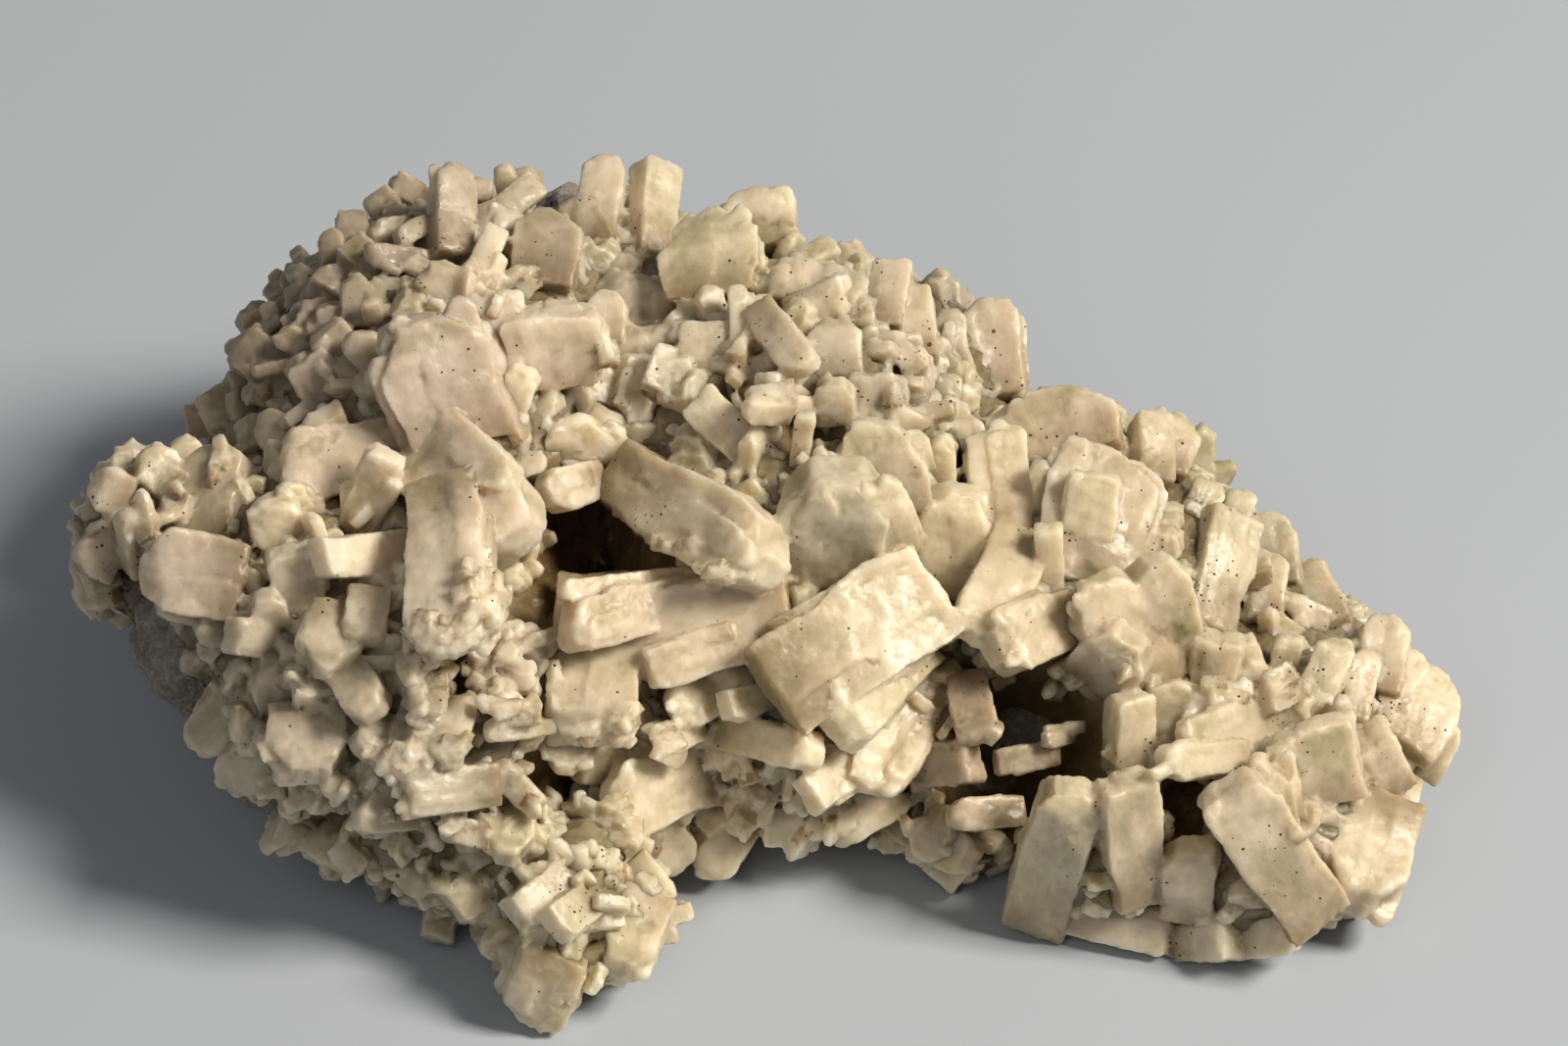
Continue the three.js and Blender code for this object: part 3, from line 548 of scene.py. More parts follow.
class Growth:
    """Gathers crystals that are then grown together under one skin."""

    def __init__(self, name):
        self.name = name
        self.points, self.triangles, self.owners, self.frames, self.tints = [], [], [], [], []
        self.count = 0

    def add(self, placed, tint):
        world, triangles, own = placed
        self.points.append(np.clip(world, low_corner + 0.1, high_corner - 0.1))
        self.triangles.append(triangles + self.count)
        self.owners.append(np.full(len(triangles), len(self.frames)))
        self.frames.append(own)
        self.tints.append(tint)
        self.count += len(world)

    def tree(self):
        points, triangles = np.concatenate(self.points), np.concatenate(self.triangles)
        return BVHTree.FromPolygons(points.tolist(), triangles.tolist())

    def build(self):
        points, triangles = np.concatenate(self.points), np.concatenate(self.triangles)
        mesh = bpy.data.meshes.new(self.name)
        mesh.vertices.add(len(points))
        mesh.vertices.foreach_set("co", (points * MM).ravel())
        mesh.loops.add(len(triangles) * 3)
        mesh.loops.foreach_set("vertex_index", triangles.ravel().astype(np.int32))
        mesh.polygons.add(len(triangles))
        mesh.polygons.foreach_set("loop_start", np.arange(len(triangles), dtype=np.int32) * 3)
        mesh.update(calc_edges=True)
        piece = bpy.data.objects.new(self.name, mesh)
        bpy.context.scene.collection.objects.link(piece)
        clear_selection()
        bpy.context.view_layer.objects.active = piece
        piece.select_set(True)
        skin = piece.modifiers.new("skin", "REMESH")
        skin.mode = "VOXEL"
        skin.voxel_size = SKIN_VOXEL * MM
        bpy.ops.object.modifier_apply(modifier=skin.name)
        for size, height in DENTS:
            texture = bpy.data.textures.new(self.name + "_dents", "CLOUDS")
            texture.noise_scale = size * MM
            texture.noise_depth = 3
            push = piece.modifiers.new("dents", "DISPLACE")
            push.texture = texture
            push.texture_coords = "LOCAL"
            push.strength = height * MM
            push.mid_level = 0.5
            bpy.ops.object.modifier_apply(modifier=push.name)
            bpy.data.textures.remove(texture)
        fewer = piece.modifiers.new("fewer", "DECIMATE")
        fewer.ratio = min(1.0, MOST_TRIANGLES.get(self.name, FRONT_TRIANGLES) / (2 * len(piece.data.polygons)))
        bpy.ops.object.modifier_apply(modifier=fewer.name)
        self.weather(piece.data)
        bpy.ops.object.shade_smooth_by_angle(angle=math.radians(36))
        return piece

    def weather(self, mesh):
        """Lengthwise ridges, swells and grains on the skin, and what the material needs to know."""
        place = np.empty(len(mesh.vertices) * 3)
        mesh.vertices.foreach_get("co", place)
        place = place.reshape(-1, 3) / MM
        normal = np.empty(len(mesh.vertices) * 3, np.float32)
        mesh.vertex_normals.foreach_get("vector", normal)
        normal = normal.reshape(-1, 3)
        tree = self.tree()
        nearest = np.array([tree.find_nearest(p)[2] for p in place.tolist()])
        owner = np.concatenate(self.owners)[nearest]
        roots = np.array([f[0] for f in self.frames])[owner]
        axes = np.array([f[1] for f in self.frames])[owner]
        wide, thick, long = (np.array([f[k] for f in self.frames])[owner] for k in (2, 3, 4))
        local = np.einsum("nij,nj->ni", axes, place - roots)
        share = np.clip(local[:, 2] / long, 0, 1)
        edge = np.maximum(np.abs(local[:, 0]) / wide, np.abs(local[:, 1]) / thick)
        # rim: how near a point is to an edge or the tip; the material paints a highlight there.
        rim = smooth_step(np.maximum(edge, share - 0.5), 0.36, 0.5)
        shifts = rng.uniform(-300, 300, (len(self.frames), 3))[owner]
        grain = local + shifts
        ridge = noise_at(grain * (1.4, 1.1, 0.22))
        swell = noise_at(grain * (0.34, 0.34, 0.2))
        rough = noise_at(place * 1.3)
        big = smooth_step(wide, 1.5, 6.0)
        ends = smooth_step(share, 0.7, 1.0)
        push = (0.02 + 0.06 * big) * ridge + (0.05 + 0.2 * big) * swell + (0.03 + (0.04 + 0.12 * ends) * big) * rough
        place = np.clip(place + normal * push[:, None], low_corner, high_corner)
        mesh.vertices.foreach_set("co", (place * MM).ravel())
        mesh.update()
        write_attribute(mesh, "grain", "FLOAT_VECTOR", grain * MM)
        write_attribute(mesh, "rise", "FLOAT", share)
        write_attribute(mesh, "rim", "FLOAT", rim)
        tints = np.array(self.tints)[owner]
        write_attribute(mesh, "tint", "FLOAT_COLOR", np.hstack([tints, np.ones((len(tints), 1))]))
        write_attribute(mesh, "dirt", "FLOAT", dirt_at(place))


def noise_at(points):
    return np.array([noise.noise(p) for p in points.tolist()])


# Where dark specks lie thick: across, down, radius and share.
DIRT_ZONES = [
    (76, 38, 9, 0.5),
    (79, 55, 3, 1.0),
    (90, 36, 9, 0.6),
    (100, 44, 7, 0.5),
    (120, 56, 9, 0.6),
    (130, 64, 8, 0.6),
    (140, 74, 8, 0.7),
    (126, 88, 9, 0.6),
    (112, 82, 6, 0.5),
    (66, 52, 5, 0.6),
    (10, 58, 7, 0.5),
    (46, 28, 8, 0.6),
    (98, 74, 6, 0.5),
    (58, 92, 8, 0.5),
]


def dirt_at(points):
    offset = points - MIDDLE
    scale = EYE_DISTANCE / (EYE_DISTANCE - offset @ PLANE_OUT)
    across, down = PLANE_MIDDLE[0] + offset[:, 0] * scale, PLANE_MIDDLE[1] - offset @ PLANE_UP * scale
    total = np.full(len(points), 0.12)
    for zone_across, zone_down, radius, share in DIRT_ZONES:
        total += 1.5 * share * np.exp(-((across - zone_across) ** 2 + (down - zone_down) ** 2) / radius**2)
    return np.clip(total, 0, 1)


def write_attribute(mesh, name, kind, values):
    attribute = mesh.attributes.new(name, kind, "POINT")
    field = {"FLOAT_VECTOR": "vector", "FLOAT": "value", "FLOAT_COLOR": "color"}[kind]
    attribute.data.foreach_set(field, np.asarray(values, np.float32).ravel())


# Colours of the crystals by zone of the plane: across, down, radius, colour. Most zones give the crystals' own tone.
# The dark zones at the upper left, the left end and in the hollows are painted shade. The darker zones at the lower
# left and on the right lobe are partly own tone and partly painted shade.
CREAM = (0.71, 0.59, 0.43)
GREENISH = (0.66, 0.56, 0.385)
PINKISH = (0.78, 0.64, 0.485)
# A greyish tone of the crystals, also used as painted shade at the left end and lower left.
GREY_AND_PAINTED_SHADE = (0.46, 0.395, 0.30)
# Painted shade at the left end, where less light falls.
DULL_PAINTED_SHADE = (0.36, 0.285, 0.215)
WHITE = (0.84, 0.71, 0.55)
# Painted shade at the upper left, where less light falls, and in the deepest hollow.
DARK_PAINTED_SHADE = (0.19, 0.145, 0.105)
# Painted shade in the hollows.
BROWN_PAINTED_SHADE = (0.30, 0.21, 0.11)
# A darker cream: partly own tone, partly painted shade on the right lobe.
SANDY_AND_PAINTED_SHADE = (0.56, 0.465, 0.335)
# An olive tone, darkened as painted shade on the right lobe.
OLIVE_AND_PAINTED_SHADE = (0.47, 0.40, 0.28)
ZONES = [
    (45, 40, 14, PINKISH),
    (46, 52, 11, WHITE),
    (72, 28, 10, GREENISH),
    (66, 34, 10, WHITE),
    (60, 22, 9, GREY_AND_PAINTED_SHADE),
    (36, 23, 11, DARK_PAINTED_SHADE),
    (31, 30, 7, DARK_PAINTED_SHADE),
    (25, 37, 7, DARK_PAINTED_SHADE),
    (70, 38, 9, GREY_AND_PAINTED_SHADE),
    (66, 32, 6, GREY_AND_PAINTED_SHADE),
    (90, 36, 10, GREY_AND_PAINTED_SHADE),
    (18, 62, 10, GREY_AND_PAINTED_SHADE),
    (8, 60, 8, DULL_PAINTED_SHADE),
    (20, 69, 6, DULL_PAINTED_SHADE),
    (30, 78, 14, GREY_AND_PAINTED_SHADE),
    (44, 82, 13, GREY_AND_PAINTED_SHADE),
    (61, 57, 5, BROWN_PAINTED_SHADE),
    (102, 78, 8, BROWN_PAINTED_SHADE),
    (103, 77.5, 6, DARK_PAINTED_SHADE),
    (57.5, 19.5, 3, BROWN_PAINTED_SHADE),
    (128, 60, 10, OLIVE_AND_PAINTED_SHADE),
    (121, 50, 6, OLIVE_AND_PAINTED_SHADE),
    (86, 66, 12, GREENISH),
    (72, 52, 9, CREAM),
    (108, 56, 14, GREENISH),
    (130, 80, 18, SANDY_AND_PAINTED_SHADE),
    (106, 50, 9, SANDY_AND_PAINTED_SHADE),
    (118, 60, 12, SANDY_AND_PAINTED_SHADE),
    (60, 92, 12, GREENISH),
    (112, 88, 12, GREENISH),
]
TINT_SPREAD = 0.06


def seen_at(point):
    """Across and down in the measuring plane of a point in mm."""
    offset = point - MIDDLE
    scale = EYE_DISTANCE / (EYE_DISTANCE - offset @ PLANE_OUT)
    return PLANE_MIDDLE[0] + offset[0] * scale, PLANE_MIDDLE[1] - offset @ PLANE_UP * scale


def tint_at(point):
    across, down = seen_at(point)
    total = np.array(CREAM) * 0.35
    weight = 0.35
    for zone_across, zone_down, radius, colour in ZONES:
        share = math.exp(-((across - zone_across) ** 2 + (down - zone_down) ** 2) / radius**2)
        total = total + np.array(colour) * share
        weight += share
    tint = total / weight
    return np.clip(tint * (1 + rng.normal(0, TINT_SPREAD)) + rng.normal(0, TINT_SPREAD * 0.06, 3), 0.05, 0.92)


LARGE_WIDTH = 5.5

regions = {
    "crystals_left": LEFT_CENTRE + LEFT_END + LOWER_LEFT,
    "crystals_top": UPPER_LEFT + TOP_CENTRE + UPPER_RIGHT,
    "crystals_centre": CENTRE + LOWER_MIDDLE,
    "crystals_right": RIGHT_LOBE,
}
boxes = []
growths = {name: Growth(name) for name in (*regions, "crystals_back")}


def add_companions(growth, row, root, tip, tint):
    """Thinner blades beside and on a listed crystal, nearly parallel to it."""
    wide, thick, roll, end = row[4], row[5], row[7], row[8]
    side, face, along, long = crystal_axes(root, tip, roll)
    for k in range(2 + int(wide / 1.6)):
        aside = rng.uniform(-0.42, 0.42)
        front = rng.uniform(-0.15, 0.32)
        start = rng.uniform(0.0, 0.45)
        stop = rng.uniform(0.72, 1.03)
        lean = side * rng.normal(0, 0.07) + face * rng.normal(0, 0.05)
        base = root + side * aside * wide + face * front * thick + along * long * start
        top = base + (along + lean) * long * max(0.25, stop - start)
        master = medium[end][rng.integers(len(medium[end]))]
        share = rng.uniform(0.2, 0.48)
        growth.add(
            grown(master, base, top, max(1.0, wide * share), max(0.9, thick * share), roll + rng.normal(0, 8)),
            tint * rng.uniform(0.94, 1.06),
        )


for name, rows in regions.items():
    growth = growths[name]
    for row in rows:
        wide, thick, roll, end = row[4], row[5], row[7], row[8]
        root, tip = ends_of(row)
        size = large if wide >= LARGE_WIDTH else medium
        master = size[end][rng.integers(len(size[end]))]
        tint = tint_at(tip)
        growth.add(grown(master, root, tip, wide, thick, roll), tint)
        add_companions(growth, row, root, tip, tint)
        side, face, along, long = crystal_axes(root, tip, roll)
        boxes.append((root, np.stack([side, face, along]), wide / 2, thick / 2, long))


# ---------- druse


def covers(lump, point, swell=0.0):
    middle, radii = lump
    return np.linalg.norm((point - middle) / (radii + swell)) < 1


box_roots = np.array([b[0] for b in boxes])
box_axes = np.array([b[1] for b in boxes])
box_sizes = np.array([b[2:5] for b in boxes])


def inside_crystal(point):
    local = np.einsum("nij,nj->ni", box_axes, point - box_roots)
    within = (np.abs(local[:, 0]) < box_sizes[:, 0] * 0.8) & (np.abs(local[:, 1]) < box_sizes[:, 1] * 0.8)
    return bool((within & (local[:, 2] > 0) & (local[:, 2] < box_sizes[:, 2] * 0.9)).any())


# Deep places between the crystals: across, down, radius and depth in mm.
HOLLOWS = [
    (60.0, 55.0, 5.4, 7),
    (56.0, 59.5, 3.2, 5),
    (66.0, 57.5, 3.5, 6),
    (103.0, 77.5, 7.5, 13),
    (98.5, 80.5, 3.0, 5),
    (121.5, 82.5, 3.2, 7),
    (128.0, 84.0, 2.4, 5),
    (56.5, 79.0, 3.5, 6),
    (55.0, 62.0, 2.4, 5),
    (13.0, 57.5, 1.8, 4),
    (13.0, 61.0, 2.2, 4),
    (35.0, 32.5, 1.8, 4),
    (44.0, 27.5, 2.6, 4),
    (35.5, 26.0, 2.2, 4),
    (30.0, 34.5, 1.8, 4),
    (19.0, 71.5, 2.4, 4),
    (34.0, 84.0, 2.2, 4),
    (59.5, 95.0, 1.8, 3),
    (64.0, 89.5, 1.6, 3),
    (83.0, 44.5, 2.6, 4),
    (76.5, 40.5, 2.2, 4),
    (100.5, 47.0, 2.0, 4),
    (117.0, 90.0, 2.0, 4),
    (110.0, 83.0, 2.6, 5),
    (136.0, 71.5, 2.2, 4),
    (91.5, 78.0, 1.8, 4),
    (69.5, 80.0, 1.8, 4),
    (47.5, 69.5, 2.2, 5),
    (28.0, 58.5, 2.0, 4),
]


def hollow_at(point, spread=1.0):
    """How deep in mm the crust is dented at a point in mm, on the side that faces the front."""
    across, down = seen_at(point)
    depth = 0.0
    for hollow_across, hollow_down, radius, deep in HOLLOWS:
        share = math.hypot(across - hollow_across, down - hollow_down) / (radius * spread)
        if share < 1.6:
            depth = max(depth, deep * math.exp(-(share**4)))
    return depth


# Layers of smaller crystals: tries, width in mm, length above the crust and flatness as parts of
# the width, how far they sink in, how close they stand, how many in a sheaf, front or back.
LAYERS = [
    (9000, (2.6, 4.8), (0.15, 0.75), (0.3, 0.45), 0.8, 0.85, (1, 4), True),
    (16000, (1.4, 2.6), (0.2, 1.0), (0.36, 0.55), 1.2, 0.8, (1, 4), True),
    (7000, (2.6, 5.4), (0.3, 0.9), (0.35, 0.6), 0.8, 0.8, (2, 5), False),
    (9000, (1.4, 2.6), (0.3, 1.0), (0.45, 0.8), 1.0, 0.75, (1, 3), False),
]
FRONT_FACING = -0.15
SWIRL_SCALE = 0.05
SHEAF_SPREAD = 0.09
SMALL_SHADE = (0.86, 0.87, 0.86)
SPARSE_FROM = 97
# Painted shade in the hollows: how much red, green and blue are darkened at full depth.
HOLLOW_PAINTED_SHADE = (0.3, 0.42, 0.6)
THINNEST = 0.75
end_names = list(ENDS)
areas = np.array([(r[0] * r[1] + r[1] * r[2] + r[0] * r[2]) for _, r in crust_lumps])
chances = areas / areas.sum()


def region_of(point):
    across, down = seen_at(point)
    if across < 60 and down < 42 + (across - 20) * 0.05 or 60 <= across < 105 and down < 44:
        return "crystals_top"
    return "crystals_left" if across < 58 else "crystals_centre" if across < 100 else "crystals_right"


for layer, (tries, widths, lengths, flatness, sink, spacing, members, in_front) in enumerate(LAYERS):
    cells = {}
    reach = widths[1]
    for _ in range(tries):
        index = rng.choice(len(crust_lumps), p=chances)
        middle, radii = crust_lumps[index]
        direction = unit(rng.normal(0, 1, 3))
        outward = unit(direction / radii)
        draw = rng.uniform(0, 1, 8)
        if (outward @ PLANE_OUT > FRONT_FACING) != in_front:
            continue
        place = middle + direction * (radii - sink)
        if place[2] < 0.8:
            continue
        if any(covers(other, place, -sink - 0.3) for k, other in enumerate(crust_lumps) if k != index):
            continue
        if any(covers(rock, place, 0.2) for rock in rock_lumps):
            continue
        dent = hollow_at(place) if in_front else 0.0
        if dent > 1.0:
            if layer == 0 or dent > 3.5:
                continue
            place = place - PLANE_OUT * dent
        wide = widths[0] + (widths[1] - widths[0]) * draw[0]
        key = tuple((place // reach).astype(int))
        near = [
            spot
            for dx in (-1, 0, 1)
            for dy in (-1, 0, 1)
            for dz in (-1, 0, 1)
            for spot in cells.get((key[0] + dx, key[1] + dy, key[2] + dz), ())
        ]
        if any(np.linalg.norm(place - spot) < spacing * (wide + width) / 2 for spot, width in near):
            continue
        if inside_crystal(place + outward):
            continue
        cells.setdefault(key, []).append((place, wide))
        sparse = in_front and seen_at(place)[0] > SPARSE_FROM
        if sparse and draw[7] < 0.35:
            continue
        swirl = np.array(noise.noise_vector(tuple(place * SWIRL_SCALE)))
        twist = noise.noise(tuple(place * SWIRL_SCALE * 0.8 + 40))
        along = unit(outward + swirl * 1.7 + unit(rng.normal(0, 1, 3)) * 0.25)
        roll = twist * 400 + draw[5] * 50
        thick = max(THINNEST, wide * (flatness[0] + (flatness[1] - flatness[0]) * draw[2]))
        end = end_names[int(draw[3] * len(end_names))]
        growth = growths[region_of(place) if in_front else "crystals_back"]
        # Deep in a hollow the tint is darkened, as painted shade.
        tint = tint_at(place) * np.array(SMALL_SHADE) * (1 - np.array(HOLLOW_PAINTED_SHADE) * min(1.0, dent / 6))
        number = members[0] + int(draw[6] * (members[1] - members[0]))
        _, face, _, _ = crystal_axes(place, place + along, roll)
        for k in range(number):
            offset = k - (number - 1) / 2
            long = wide * (lengths[0] + (lengths[1] - lengths[0]) * rng.uniform()) * (0.7 if sparse else 1.0)
            lean = unit(along + face * offset * SHEAF_SPREAD + rng.normal(0, 0.05, 3))
            root = place + face * offset * thick * 0.8 - lean * wide * 0.7
            tip = place + face * offset * thick * 0.8 + lean * long
            size = medium if wide > 2.2 else small
            master = size[end][int(rng.uniform() * len(size[end]))]
            member = wide * rng.uniform(0.7, 1.0)
            placed = grown(master, root, tip, member, thick, roll + rng.normal(0, 6), 0.03)
            if (placed[0] < low_corner).any() or (placed[0] > high_corner).any():
                continue
            growth.add(placed, tint * rng.uniform(0.9, 1.08))

# Patches of small crystals on the others: across, down, half width, half height, how many, width in
# mm, length as parts of the width, and whether they also stand on the faces of large crystals.
PATCHES = [
    (46.5, 65.0, 3.4, 1.7, 40, (0.8, 1.3), (0.5, 1.5), True),
    (43.0, 65.5, 1.6, 3.0, 20, (0.8, 1.3), (0.5, 1.5), True),
    (62.0, 74.6, 4.6, 1.3, 45, (0.8, 1.3), (0.4, 1.3), True),
    (66.5, 73.5, 3.0, 2.0, 30, (0.8, 1.4), (0.5, 1.5), True),
    (68.0, 55.6, 4.0, 1.0, 30, (0.8, 1.2), (0.3, 1.0), True),
    (73.5, 58.8, 3.5, 0.9, 20, (0.8, 1.2), (0.3, 1.0), True),
    (50.0, 62.0, 3.0, 6.0, 50, (0.9, 1.8), (0.5, 1.4), True),
    (52.0, 70.0, 5.0, 4.0, 80, (0.9, 1.8), (0.5, 1.4), True),
    (43.0, 70.5, 5.0, 3.0, 45, (0.9, 1.8), (0.5, 1.4), False),
    (30.0, 72.0, 7.0, 6.0, 90, (0.9, 1.7), (0.4, 1.3), False),
    (37.0, 80.0, 8.0, 4.0, 110, (0.9, 1.7), (0.4, 1.3), False),
    (45.0, 80.0, 6.0, 5.0, 60, (0.9, 1.7), (0.4, 1.3), False),
    (58.0, 86.0, 5.0, 6.0, 70, (0.9, 1.8), (0.4, 1.3), False),
    (45.0, 30.0, 6.0, 6.0, 40, (1.2, 2.4), (0.4, 1.3), False),
    (30.0, 38.0, 6.0, 6.0, 40, (1.2, 2.4), (0.4, 1.3), False),
    (79.0, 34.0, 10.0, 9.0, 60, (1.6, 3.2), (0.5, 1.5), False),
    (93.0, 37.0, 9.0, 7.0, 40, (1.6, 3.0), (0.4, 1.3), False),
    (66.0, 36.0, 7.0, 7.0, 40, (1.4, 2.8), (0.6, 1.6), False),
    (100.0, 70.0, 8.0, 8.0, 40, (1.2, 2.6), (0.3, 1.1), False),
    (120.0, 72.0, 12.0, 8.0, 60, (1.2, 2.6), (0.3, 1.1), False),
    (128.0, 58.0, 10.0, 8.0, 50, (1.6, 3.2), (0.3, 1.1), False),
    (125.0, 88.0, 12.0, 6.0, 50, (1.2, 2.6), (0.3, 1.1), False),
    (70.0, 82.0, 8.0, 6.0, 60, (1.2, 2.6), (0.3, 1.1), False),
    (85.0, 84.0, 9.0, 4.0, 50, (1.2, 2.4), (0.3, 1.1), False),
    (20.0, 52.0, 8.0, 7.0, 40, (1.2, 2.4), (0.5, 1.4), False),
    (38.0, 60.0, 9.0, 8.0, 50, (1.2, 2.6), (0.3, 1.1), False),
]
trees = {name: growth.tree() for name, growth in growths.items() if name != "crystals_back"}
for across, down, half_wide, half_high, number, widths, lengths, everywhere in PATCHES:
    for _ in range(number):
        angle, reach = rng.uniform(0, 2 * math.pi), math.sqrt(rng.uniform())
        spot = plane_point(across + math.cos(angle) * reach * half_wide, down + math.sin(angle) * reach * half_high)
        ray = unit(spot - EYE)
        wide = rng.uniform(*widths)
        away = rng.normal(0, 0.22, 3)
        long = wide * rng.uniform(*lengths)
        roll, shade = rng.uniform(0, 360), rng.uniform(0.96, 1.07)
        end = end_names[rng.integers(len(end_names))]
        hits = [(tree.ray_cast(EYE, ray), name) for name, tree in trees.items()]
        hits = [(hit, name) for hit, name in hits if hit[0] is not None]
        if not hits:
            continue
        (point, normal, index, _), name = min(hits, key=lambda pair: pair[0][3])
        growth = growths[name]
        owner = int(np.searchsorted(np.cumsum([len(t) for t in growth.triangles]), index, side="right"))
        if growth.frames[owner][2] > 3.5 and not everywhere:
            continue
        along = unit(np.array(normal) * 0.45 + growth.frames[owner][1][2] * 0.9 + away)
        point = np.array(point)
        placed = grown(small[end][0], point - along * wide * 0.9, point + along * long, wide, wide * 0.6, roll, 0.03)
        growth.add(placed, tint_at(point) * shade)

pieces = [growth.build() for growth in growths.values()]


# ---------- crust and rock

CRUST_VOXEL = 0.8
GROUND_SHADE = 0.76
ROCK_VOXEL = 0.9


def facing(point, lumps):
    """1 on the side of the crust that faces the front, 0 behind."""
    middle, radii = min(lumps, key=lambda lump: abs(np.linalg.norm((point - lump[0]) / lump[1]) - 1))
    return min(1.0, max(0.0, unit((point - middle) / radii**2) @ PLANE_OUT * 3))


def rough_ground(name, lumps, swell, voxel, grain_size, grain_height, dent_size, dent_height, hollowed):
    balls = []
    for middle, radii in lumps:
        clear_selection()
        bpy.ops.mesh.primitive_ico_sphere_add(subdivisions=4, radius=1, location=tuple(middle * MM))
        ball = bpy.context.active_object
        ball.scale = tuple((radii + swell) * MM)
        bpy.ops.object.transform_apply(location=True, rotation=False, scale=True)
        balls.append(ball)
    clear_selection()
    for ball in balls:
        ball.select_set(True)
    bpy.context.view_layer.objects.active = balls[0]
    bpy.ops.object.join()
    piece = bpy.context.active_object
    piece.name = name
    piece.data.name = name
    whole = piece.modifiers.new("whole", "REMESH")
    whole.mode = "VOXEL"
    whole.voxel_size = voxel * MM
    bpy.ops.object.modifier_apply(modifier=whole.name)
    for label, kind, size, height in (
        ("dents", "CLOUDS", dent_size, dent_height),
        ("grains", "VORONOI", grain_size, grain_height),
    ):
        texture = bpy.data.textures.new(name + "_" + label, kind)
        texture.noise_scale = size * MM
        push = piece.modifiers.new(label, "DISPLACE")
        push.texture = texture
        push.texture_coords = "LOCAL"
        push.strength = height * MM
        push.mid_level = 0.6
        bpy.ops.object.modifier_apply(modifier=push.name)
        bpy.data.textures.remove(texture)
    mesh = piece.data
    place = np.empty(len(mesh.vertices) * 3)
    mesh.vertices.foreach_get("co", place)
    place = place.reshape(-1, 3)
    if hollowed:
        inward = -PLANE_OUT * MM
        place += np.array([inward * hollow_at(p / MM, 1.15) * facing(p / MM, lumps) for p in place])
    place[:, 2] = np.maximum(place[:, 2], 0)
    for axis in range(3):
        place[:, axis] = np.clip(place[:, axis], solid_box[0][axis], solid_box[1][axis])
    mesh.vertices.foreach_set("co", place.ravel())
    mesh.update()
    bpy.ops.object.shade_smooth_by_angle(angle=math.radians(50))
    write_attribute(mesh, "grain", "FLOAT_VECTOR", place)
    write_attribute(mesh, "rise", "FLOAT", np.zeros(len(place)))
    write_attribute(mesh, "rim", "FLOAT", np.zeros(len(place)))
    tints = np.array([np.append(tint_at(p / MM) * GROUND_SHADE, 1.0) for p in place])
    # Painted shade: the crust is darker deep in the hollows.
    if hollowed:
        depth = np.array([hollow_at(p / MM, 1.15) for p in place])
        tints[:, :3] *= 1 - np.array(HOLLOW_PAINTED_SHADE) * np.clip(depth / 6, 0, 1)[:, None]
    write_attribute(mesh, "dirt", "FLOAT", np.full(len(place), 0.5))
    write_attribute(mesh, "tint", "FLOAT_COLOR", tints)
    return piece


crust = rough_ground("crust_ground", crust_lumps, -0.5, CRUST_VOXEL, 1.5, 1.3, 5, 1.4, True)
rock = rough_ground("matrix_rock", rock_lumps, 0.0, ROCK_VOXEL, 2.2, 1.9, 5, 3.2, False)
pieces.append(crust)


# ---------- materials


class Nodes:
    """Short names for building a node tree."""

    def __init__(self, tree):
        self.tree = tree

    def add(self, kind, **values):
        node = self.tree.nodes.new(kind)
        for key, value in values.items():
            if hasattr(node, key) and not key[0].isupper():
                setattr(node, key, value)
            else:
                node.inputs[key].default_value = value
        return node

    def join(self, start, end):
        self.tree.links.new(start, end)

    def noise(self, vector, scale, detail=3, roughness=0.55):
        node = self.add("ShaderNodeTexNoise", Scale=scale, Detail=detail, Roughness=roughness)
        self.join(vector, node.inputs["Vector"])
        return node.outputs["Fac"]

    def stretch(self, vector, scale):
        node = self.add("ShaderNodeMapping")
        node.inputs["Scale"].default_value = scale
        self.join(vector, node.inputs["Vector"])
        return node.outputs["Vector"]

    def ramp(self, value, low, high, start=0.0, end=1.0):
        node = self.add("ShaderNodeMapRange")
        node.inputs["From Min"].default_value = low
        node.inputs["From Max"].default_value = high
        node.inputs["To Min"].default_value = start
        node.inputs["To Max"].default_value = end
        self.join(value, node.inputs["Value"])
        return node.outputs["Result"]

    def math(self, operation, a, b):
        node = self.add("ShaderNodeMath", operation=operation)
        for socket, value in zip(node.inputs, (a, b)):
            if isinstance(value, (int, float)):
                socket.default_value = value
            else:
                self.join(value, socket)
        return node.outputs["Value"]

    def mix(self, factor, a, b, blend="MIX"):
        node = self.add("ShaderNodeMix", data_type="RGBA", blend_type=blend)
        for socket, value in ((node.inputs[0], factor), (node.inputs[6], a), (node.inputs[7], b)):
            if isinstance(value, bpy.types.NodeSocket):
                self.join(value, socket)
            elif isinstance(value, (int, float)):
                socket.default_value = value
            else:
                socket.default_value = (*value, 1)
        return node.outputs[2]


def group_socket(tree, name, kind, out):
    return tree.interface.new_socket(name, in_out="OUTPUT" if out else "INPUT", socket_type=kind)


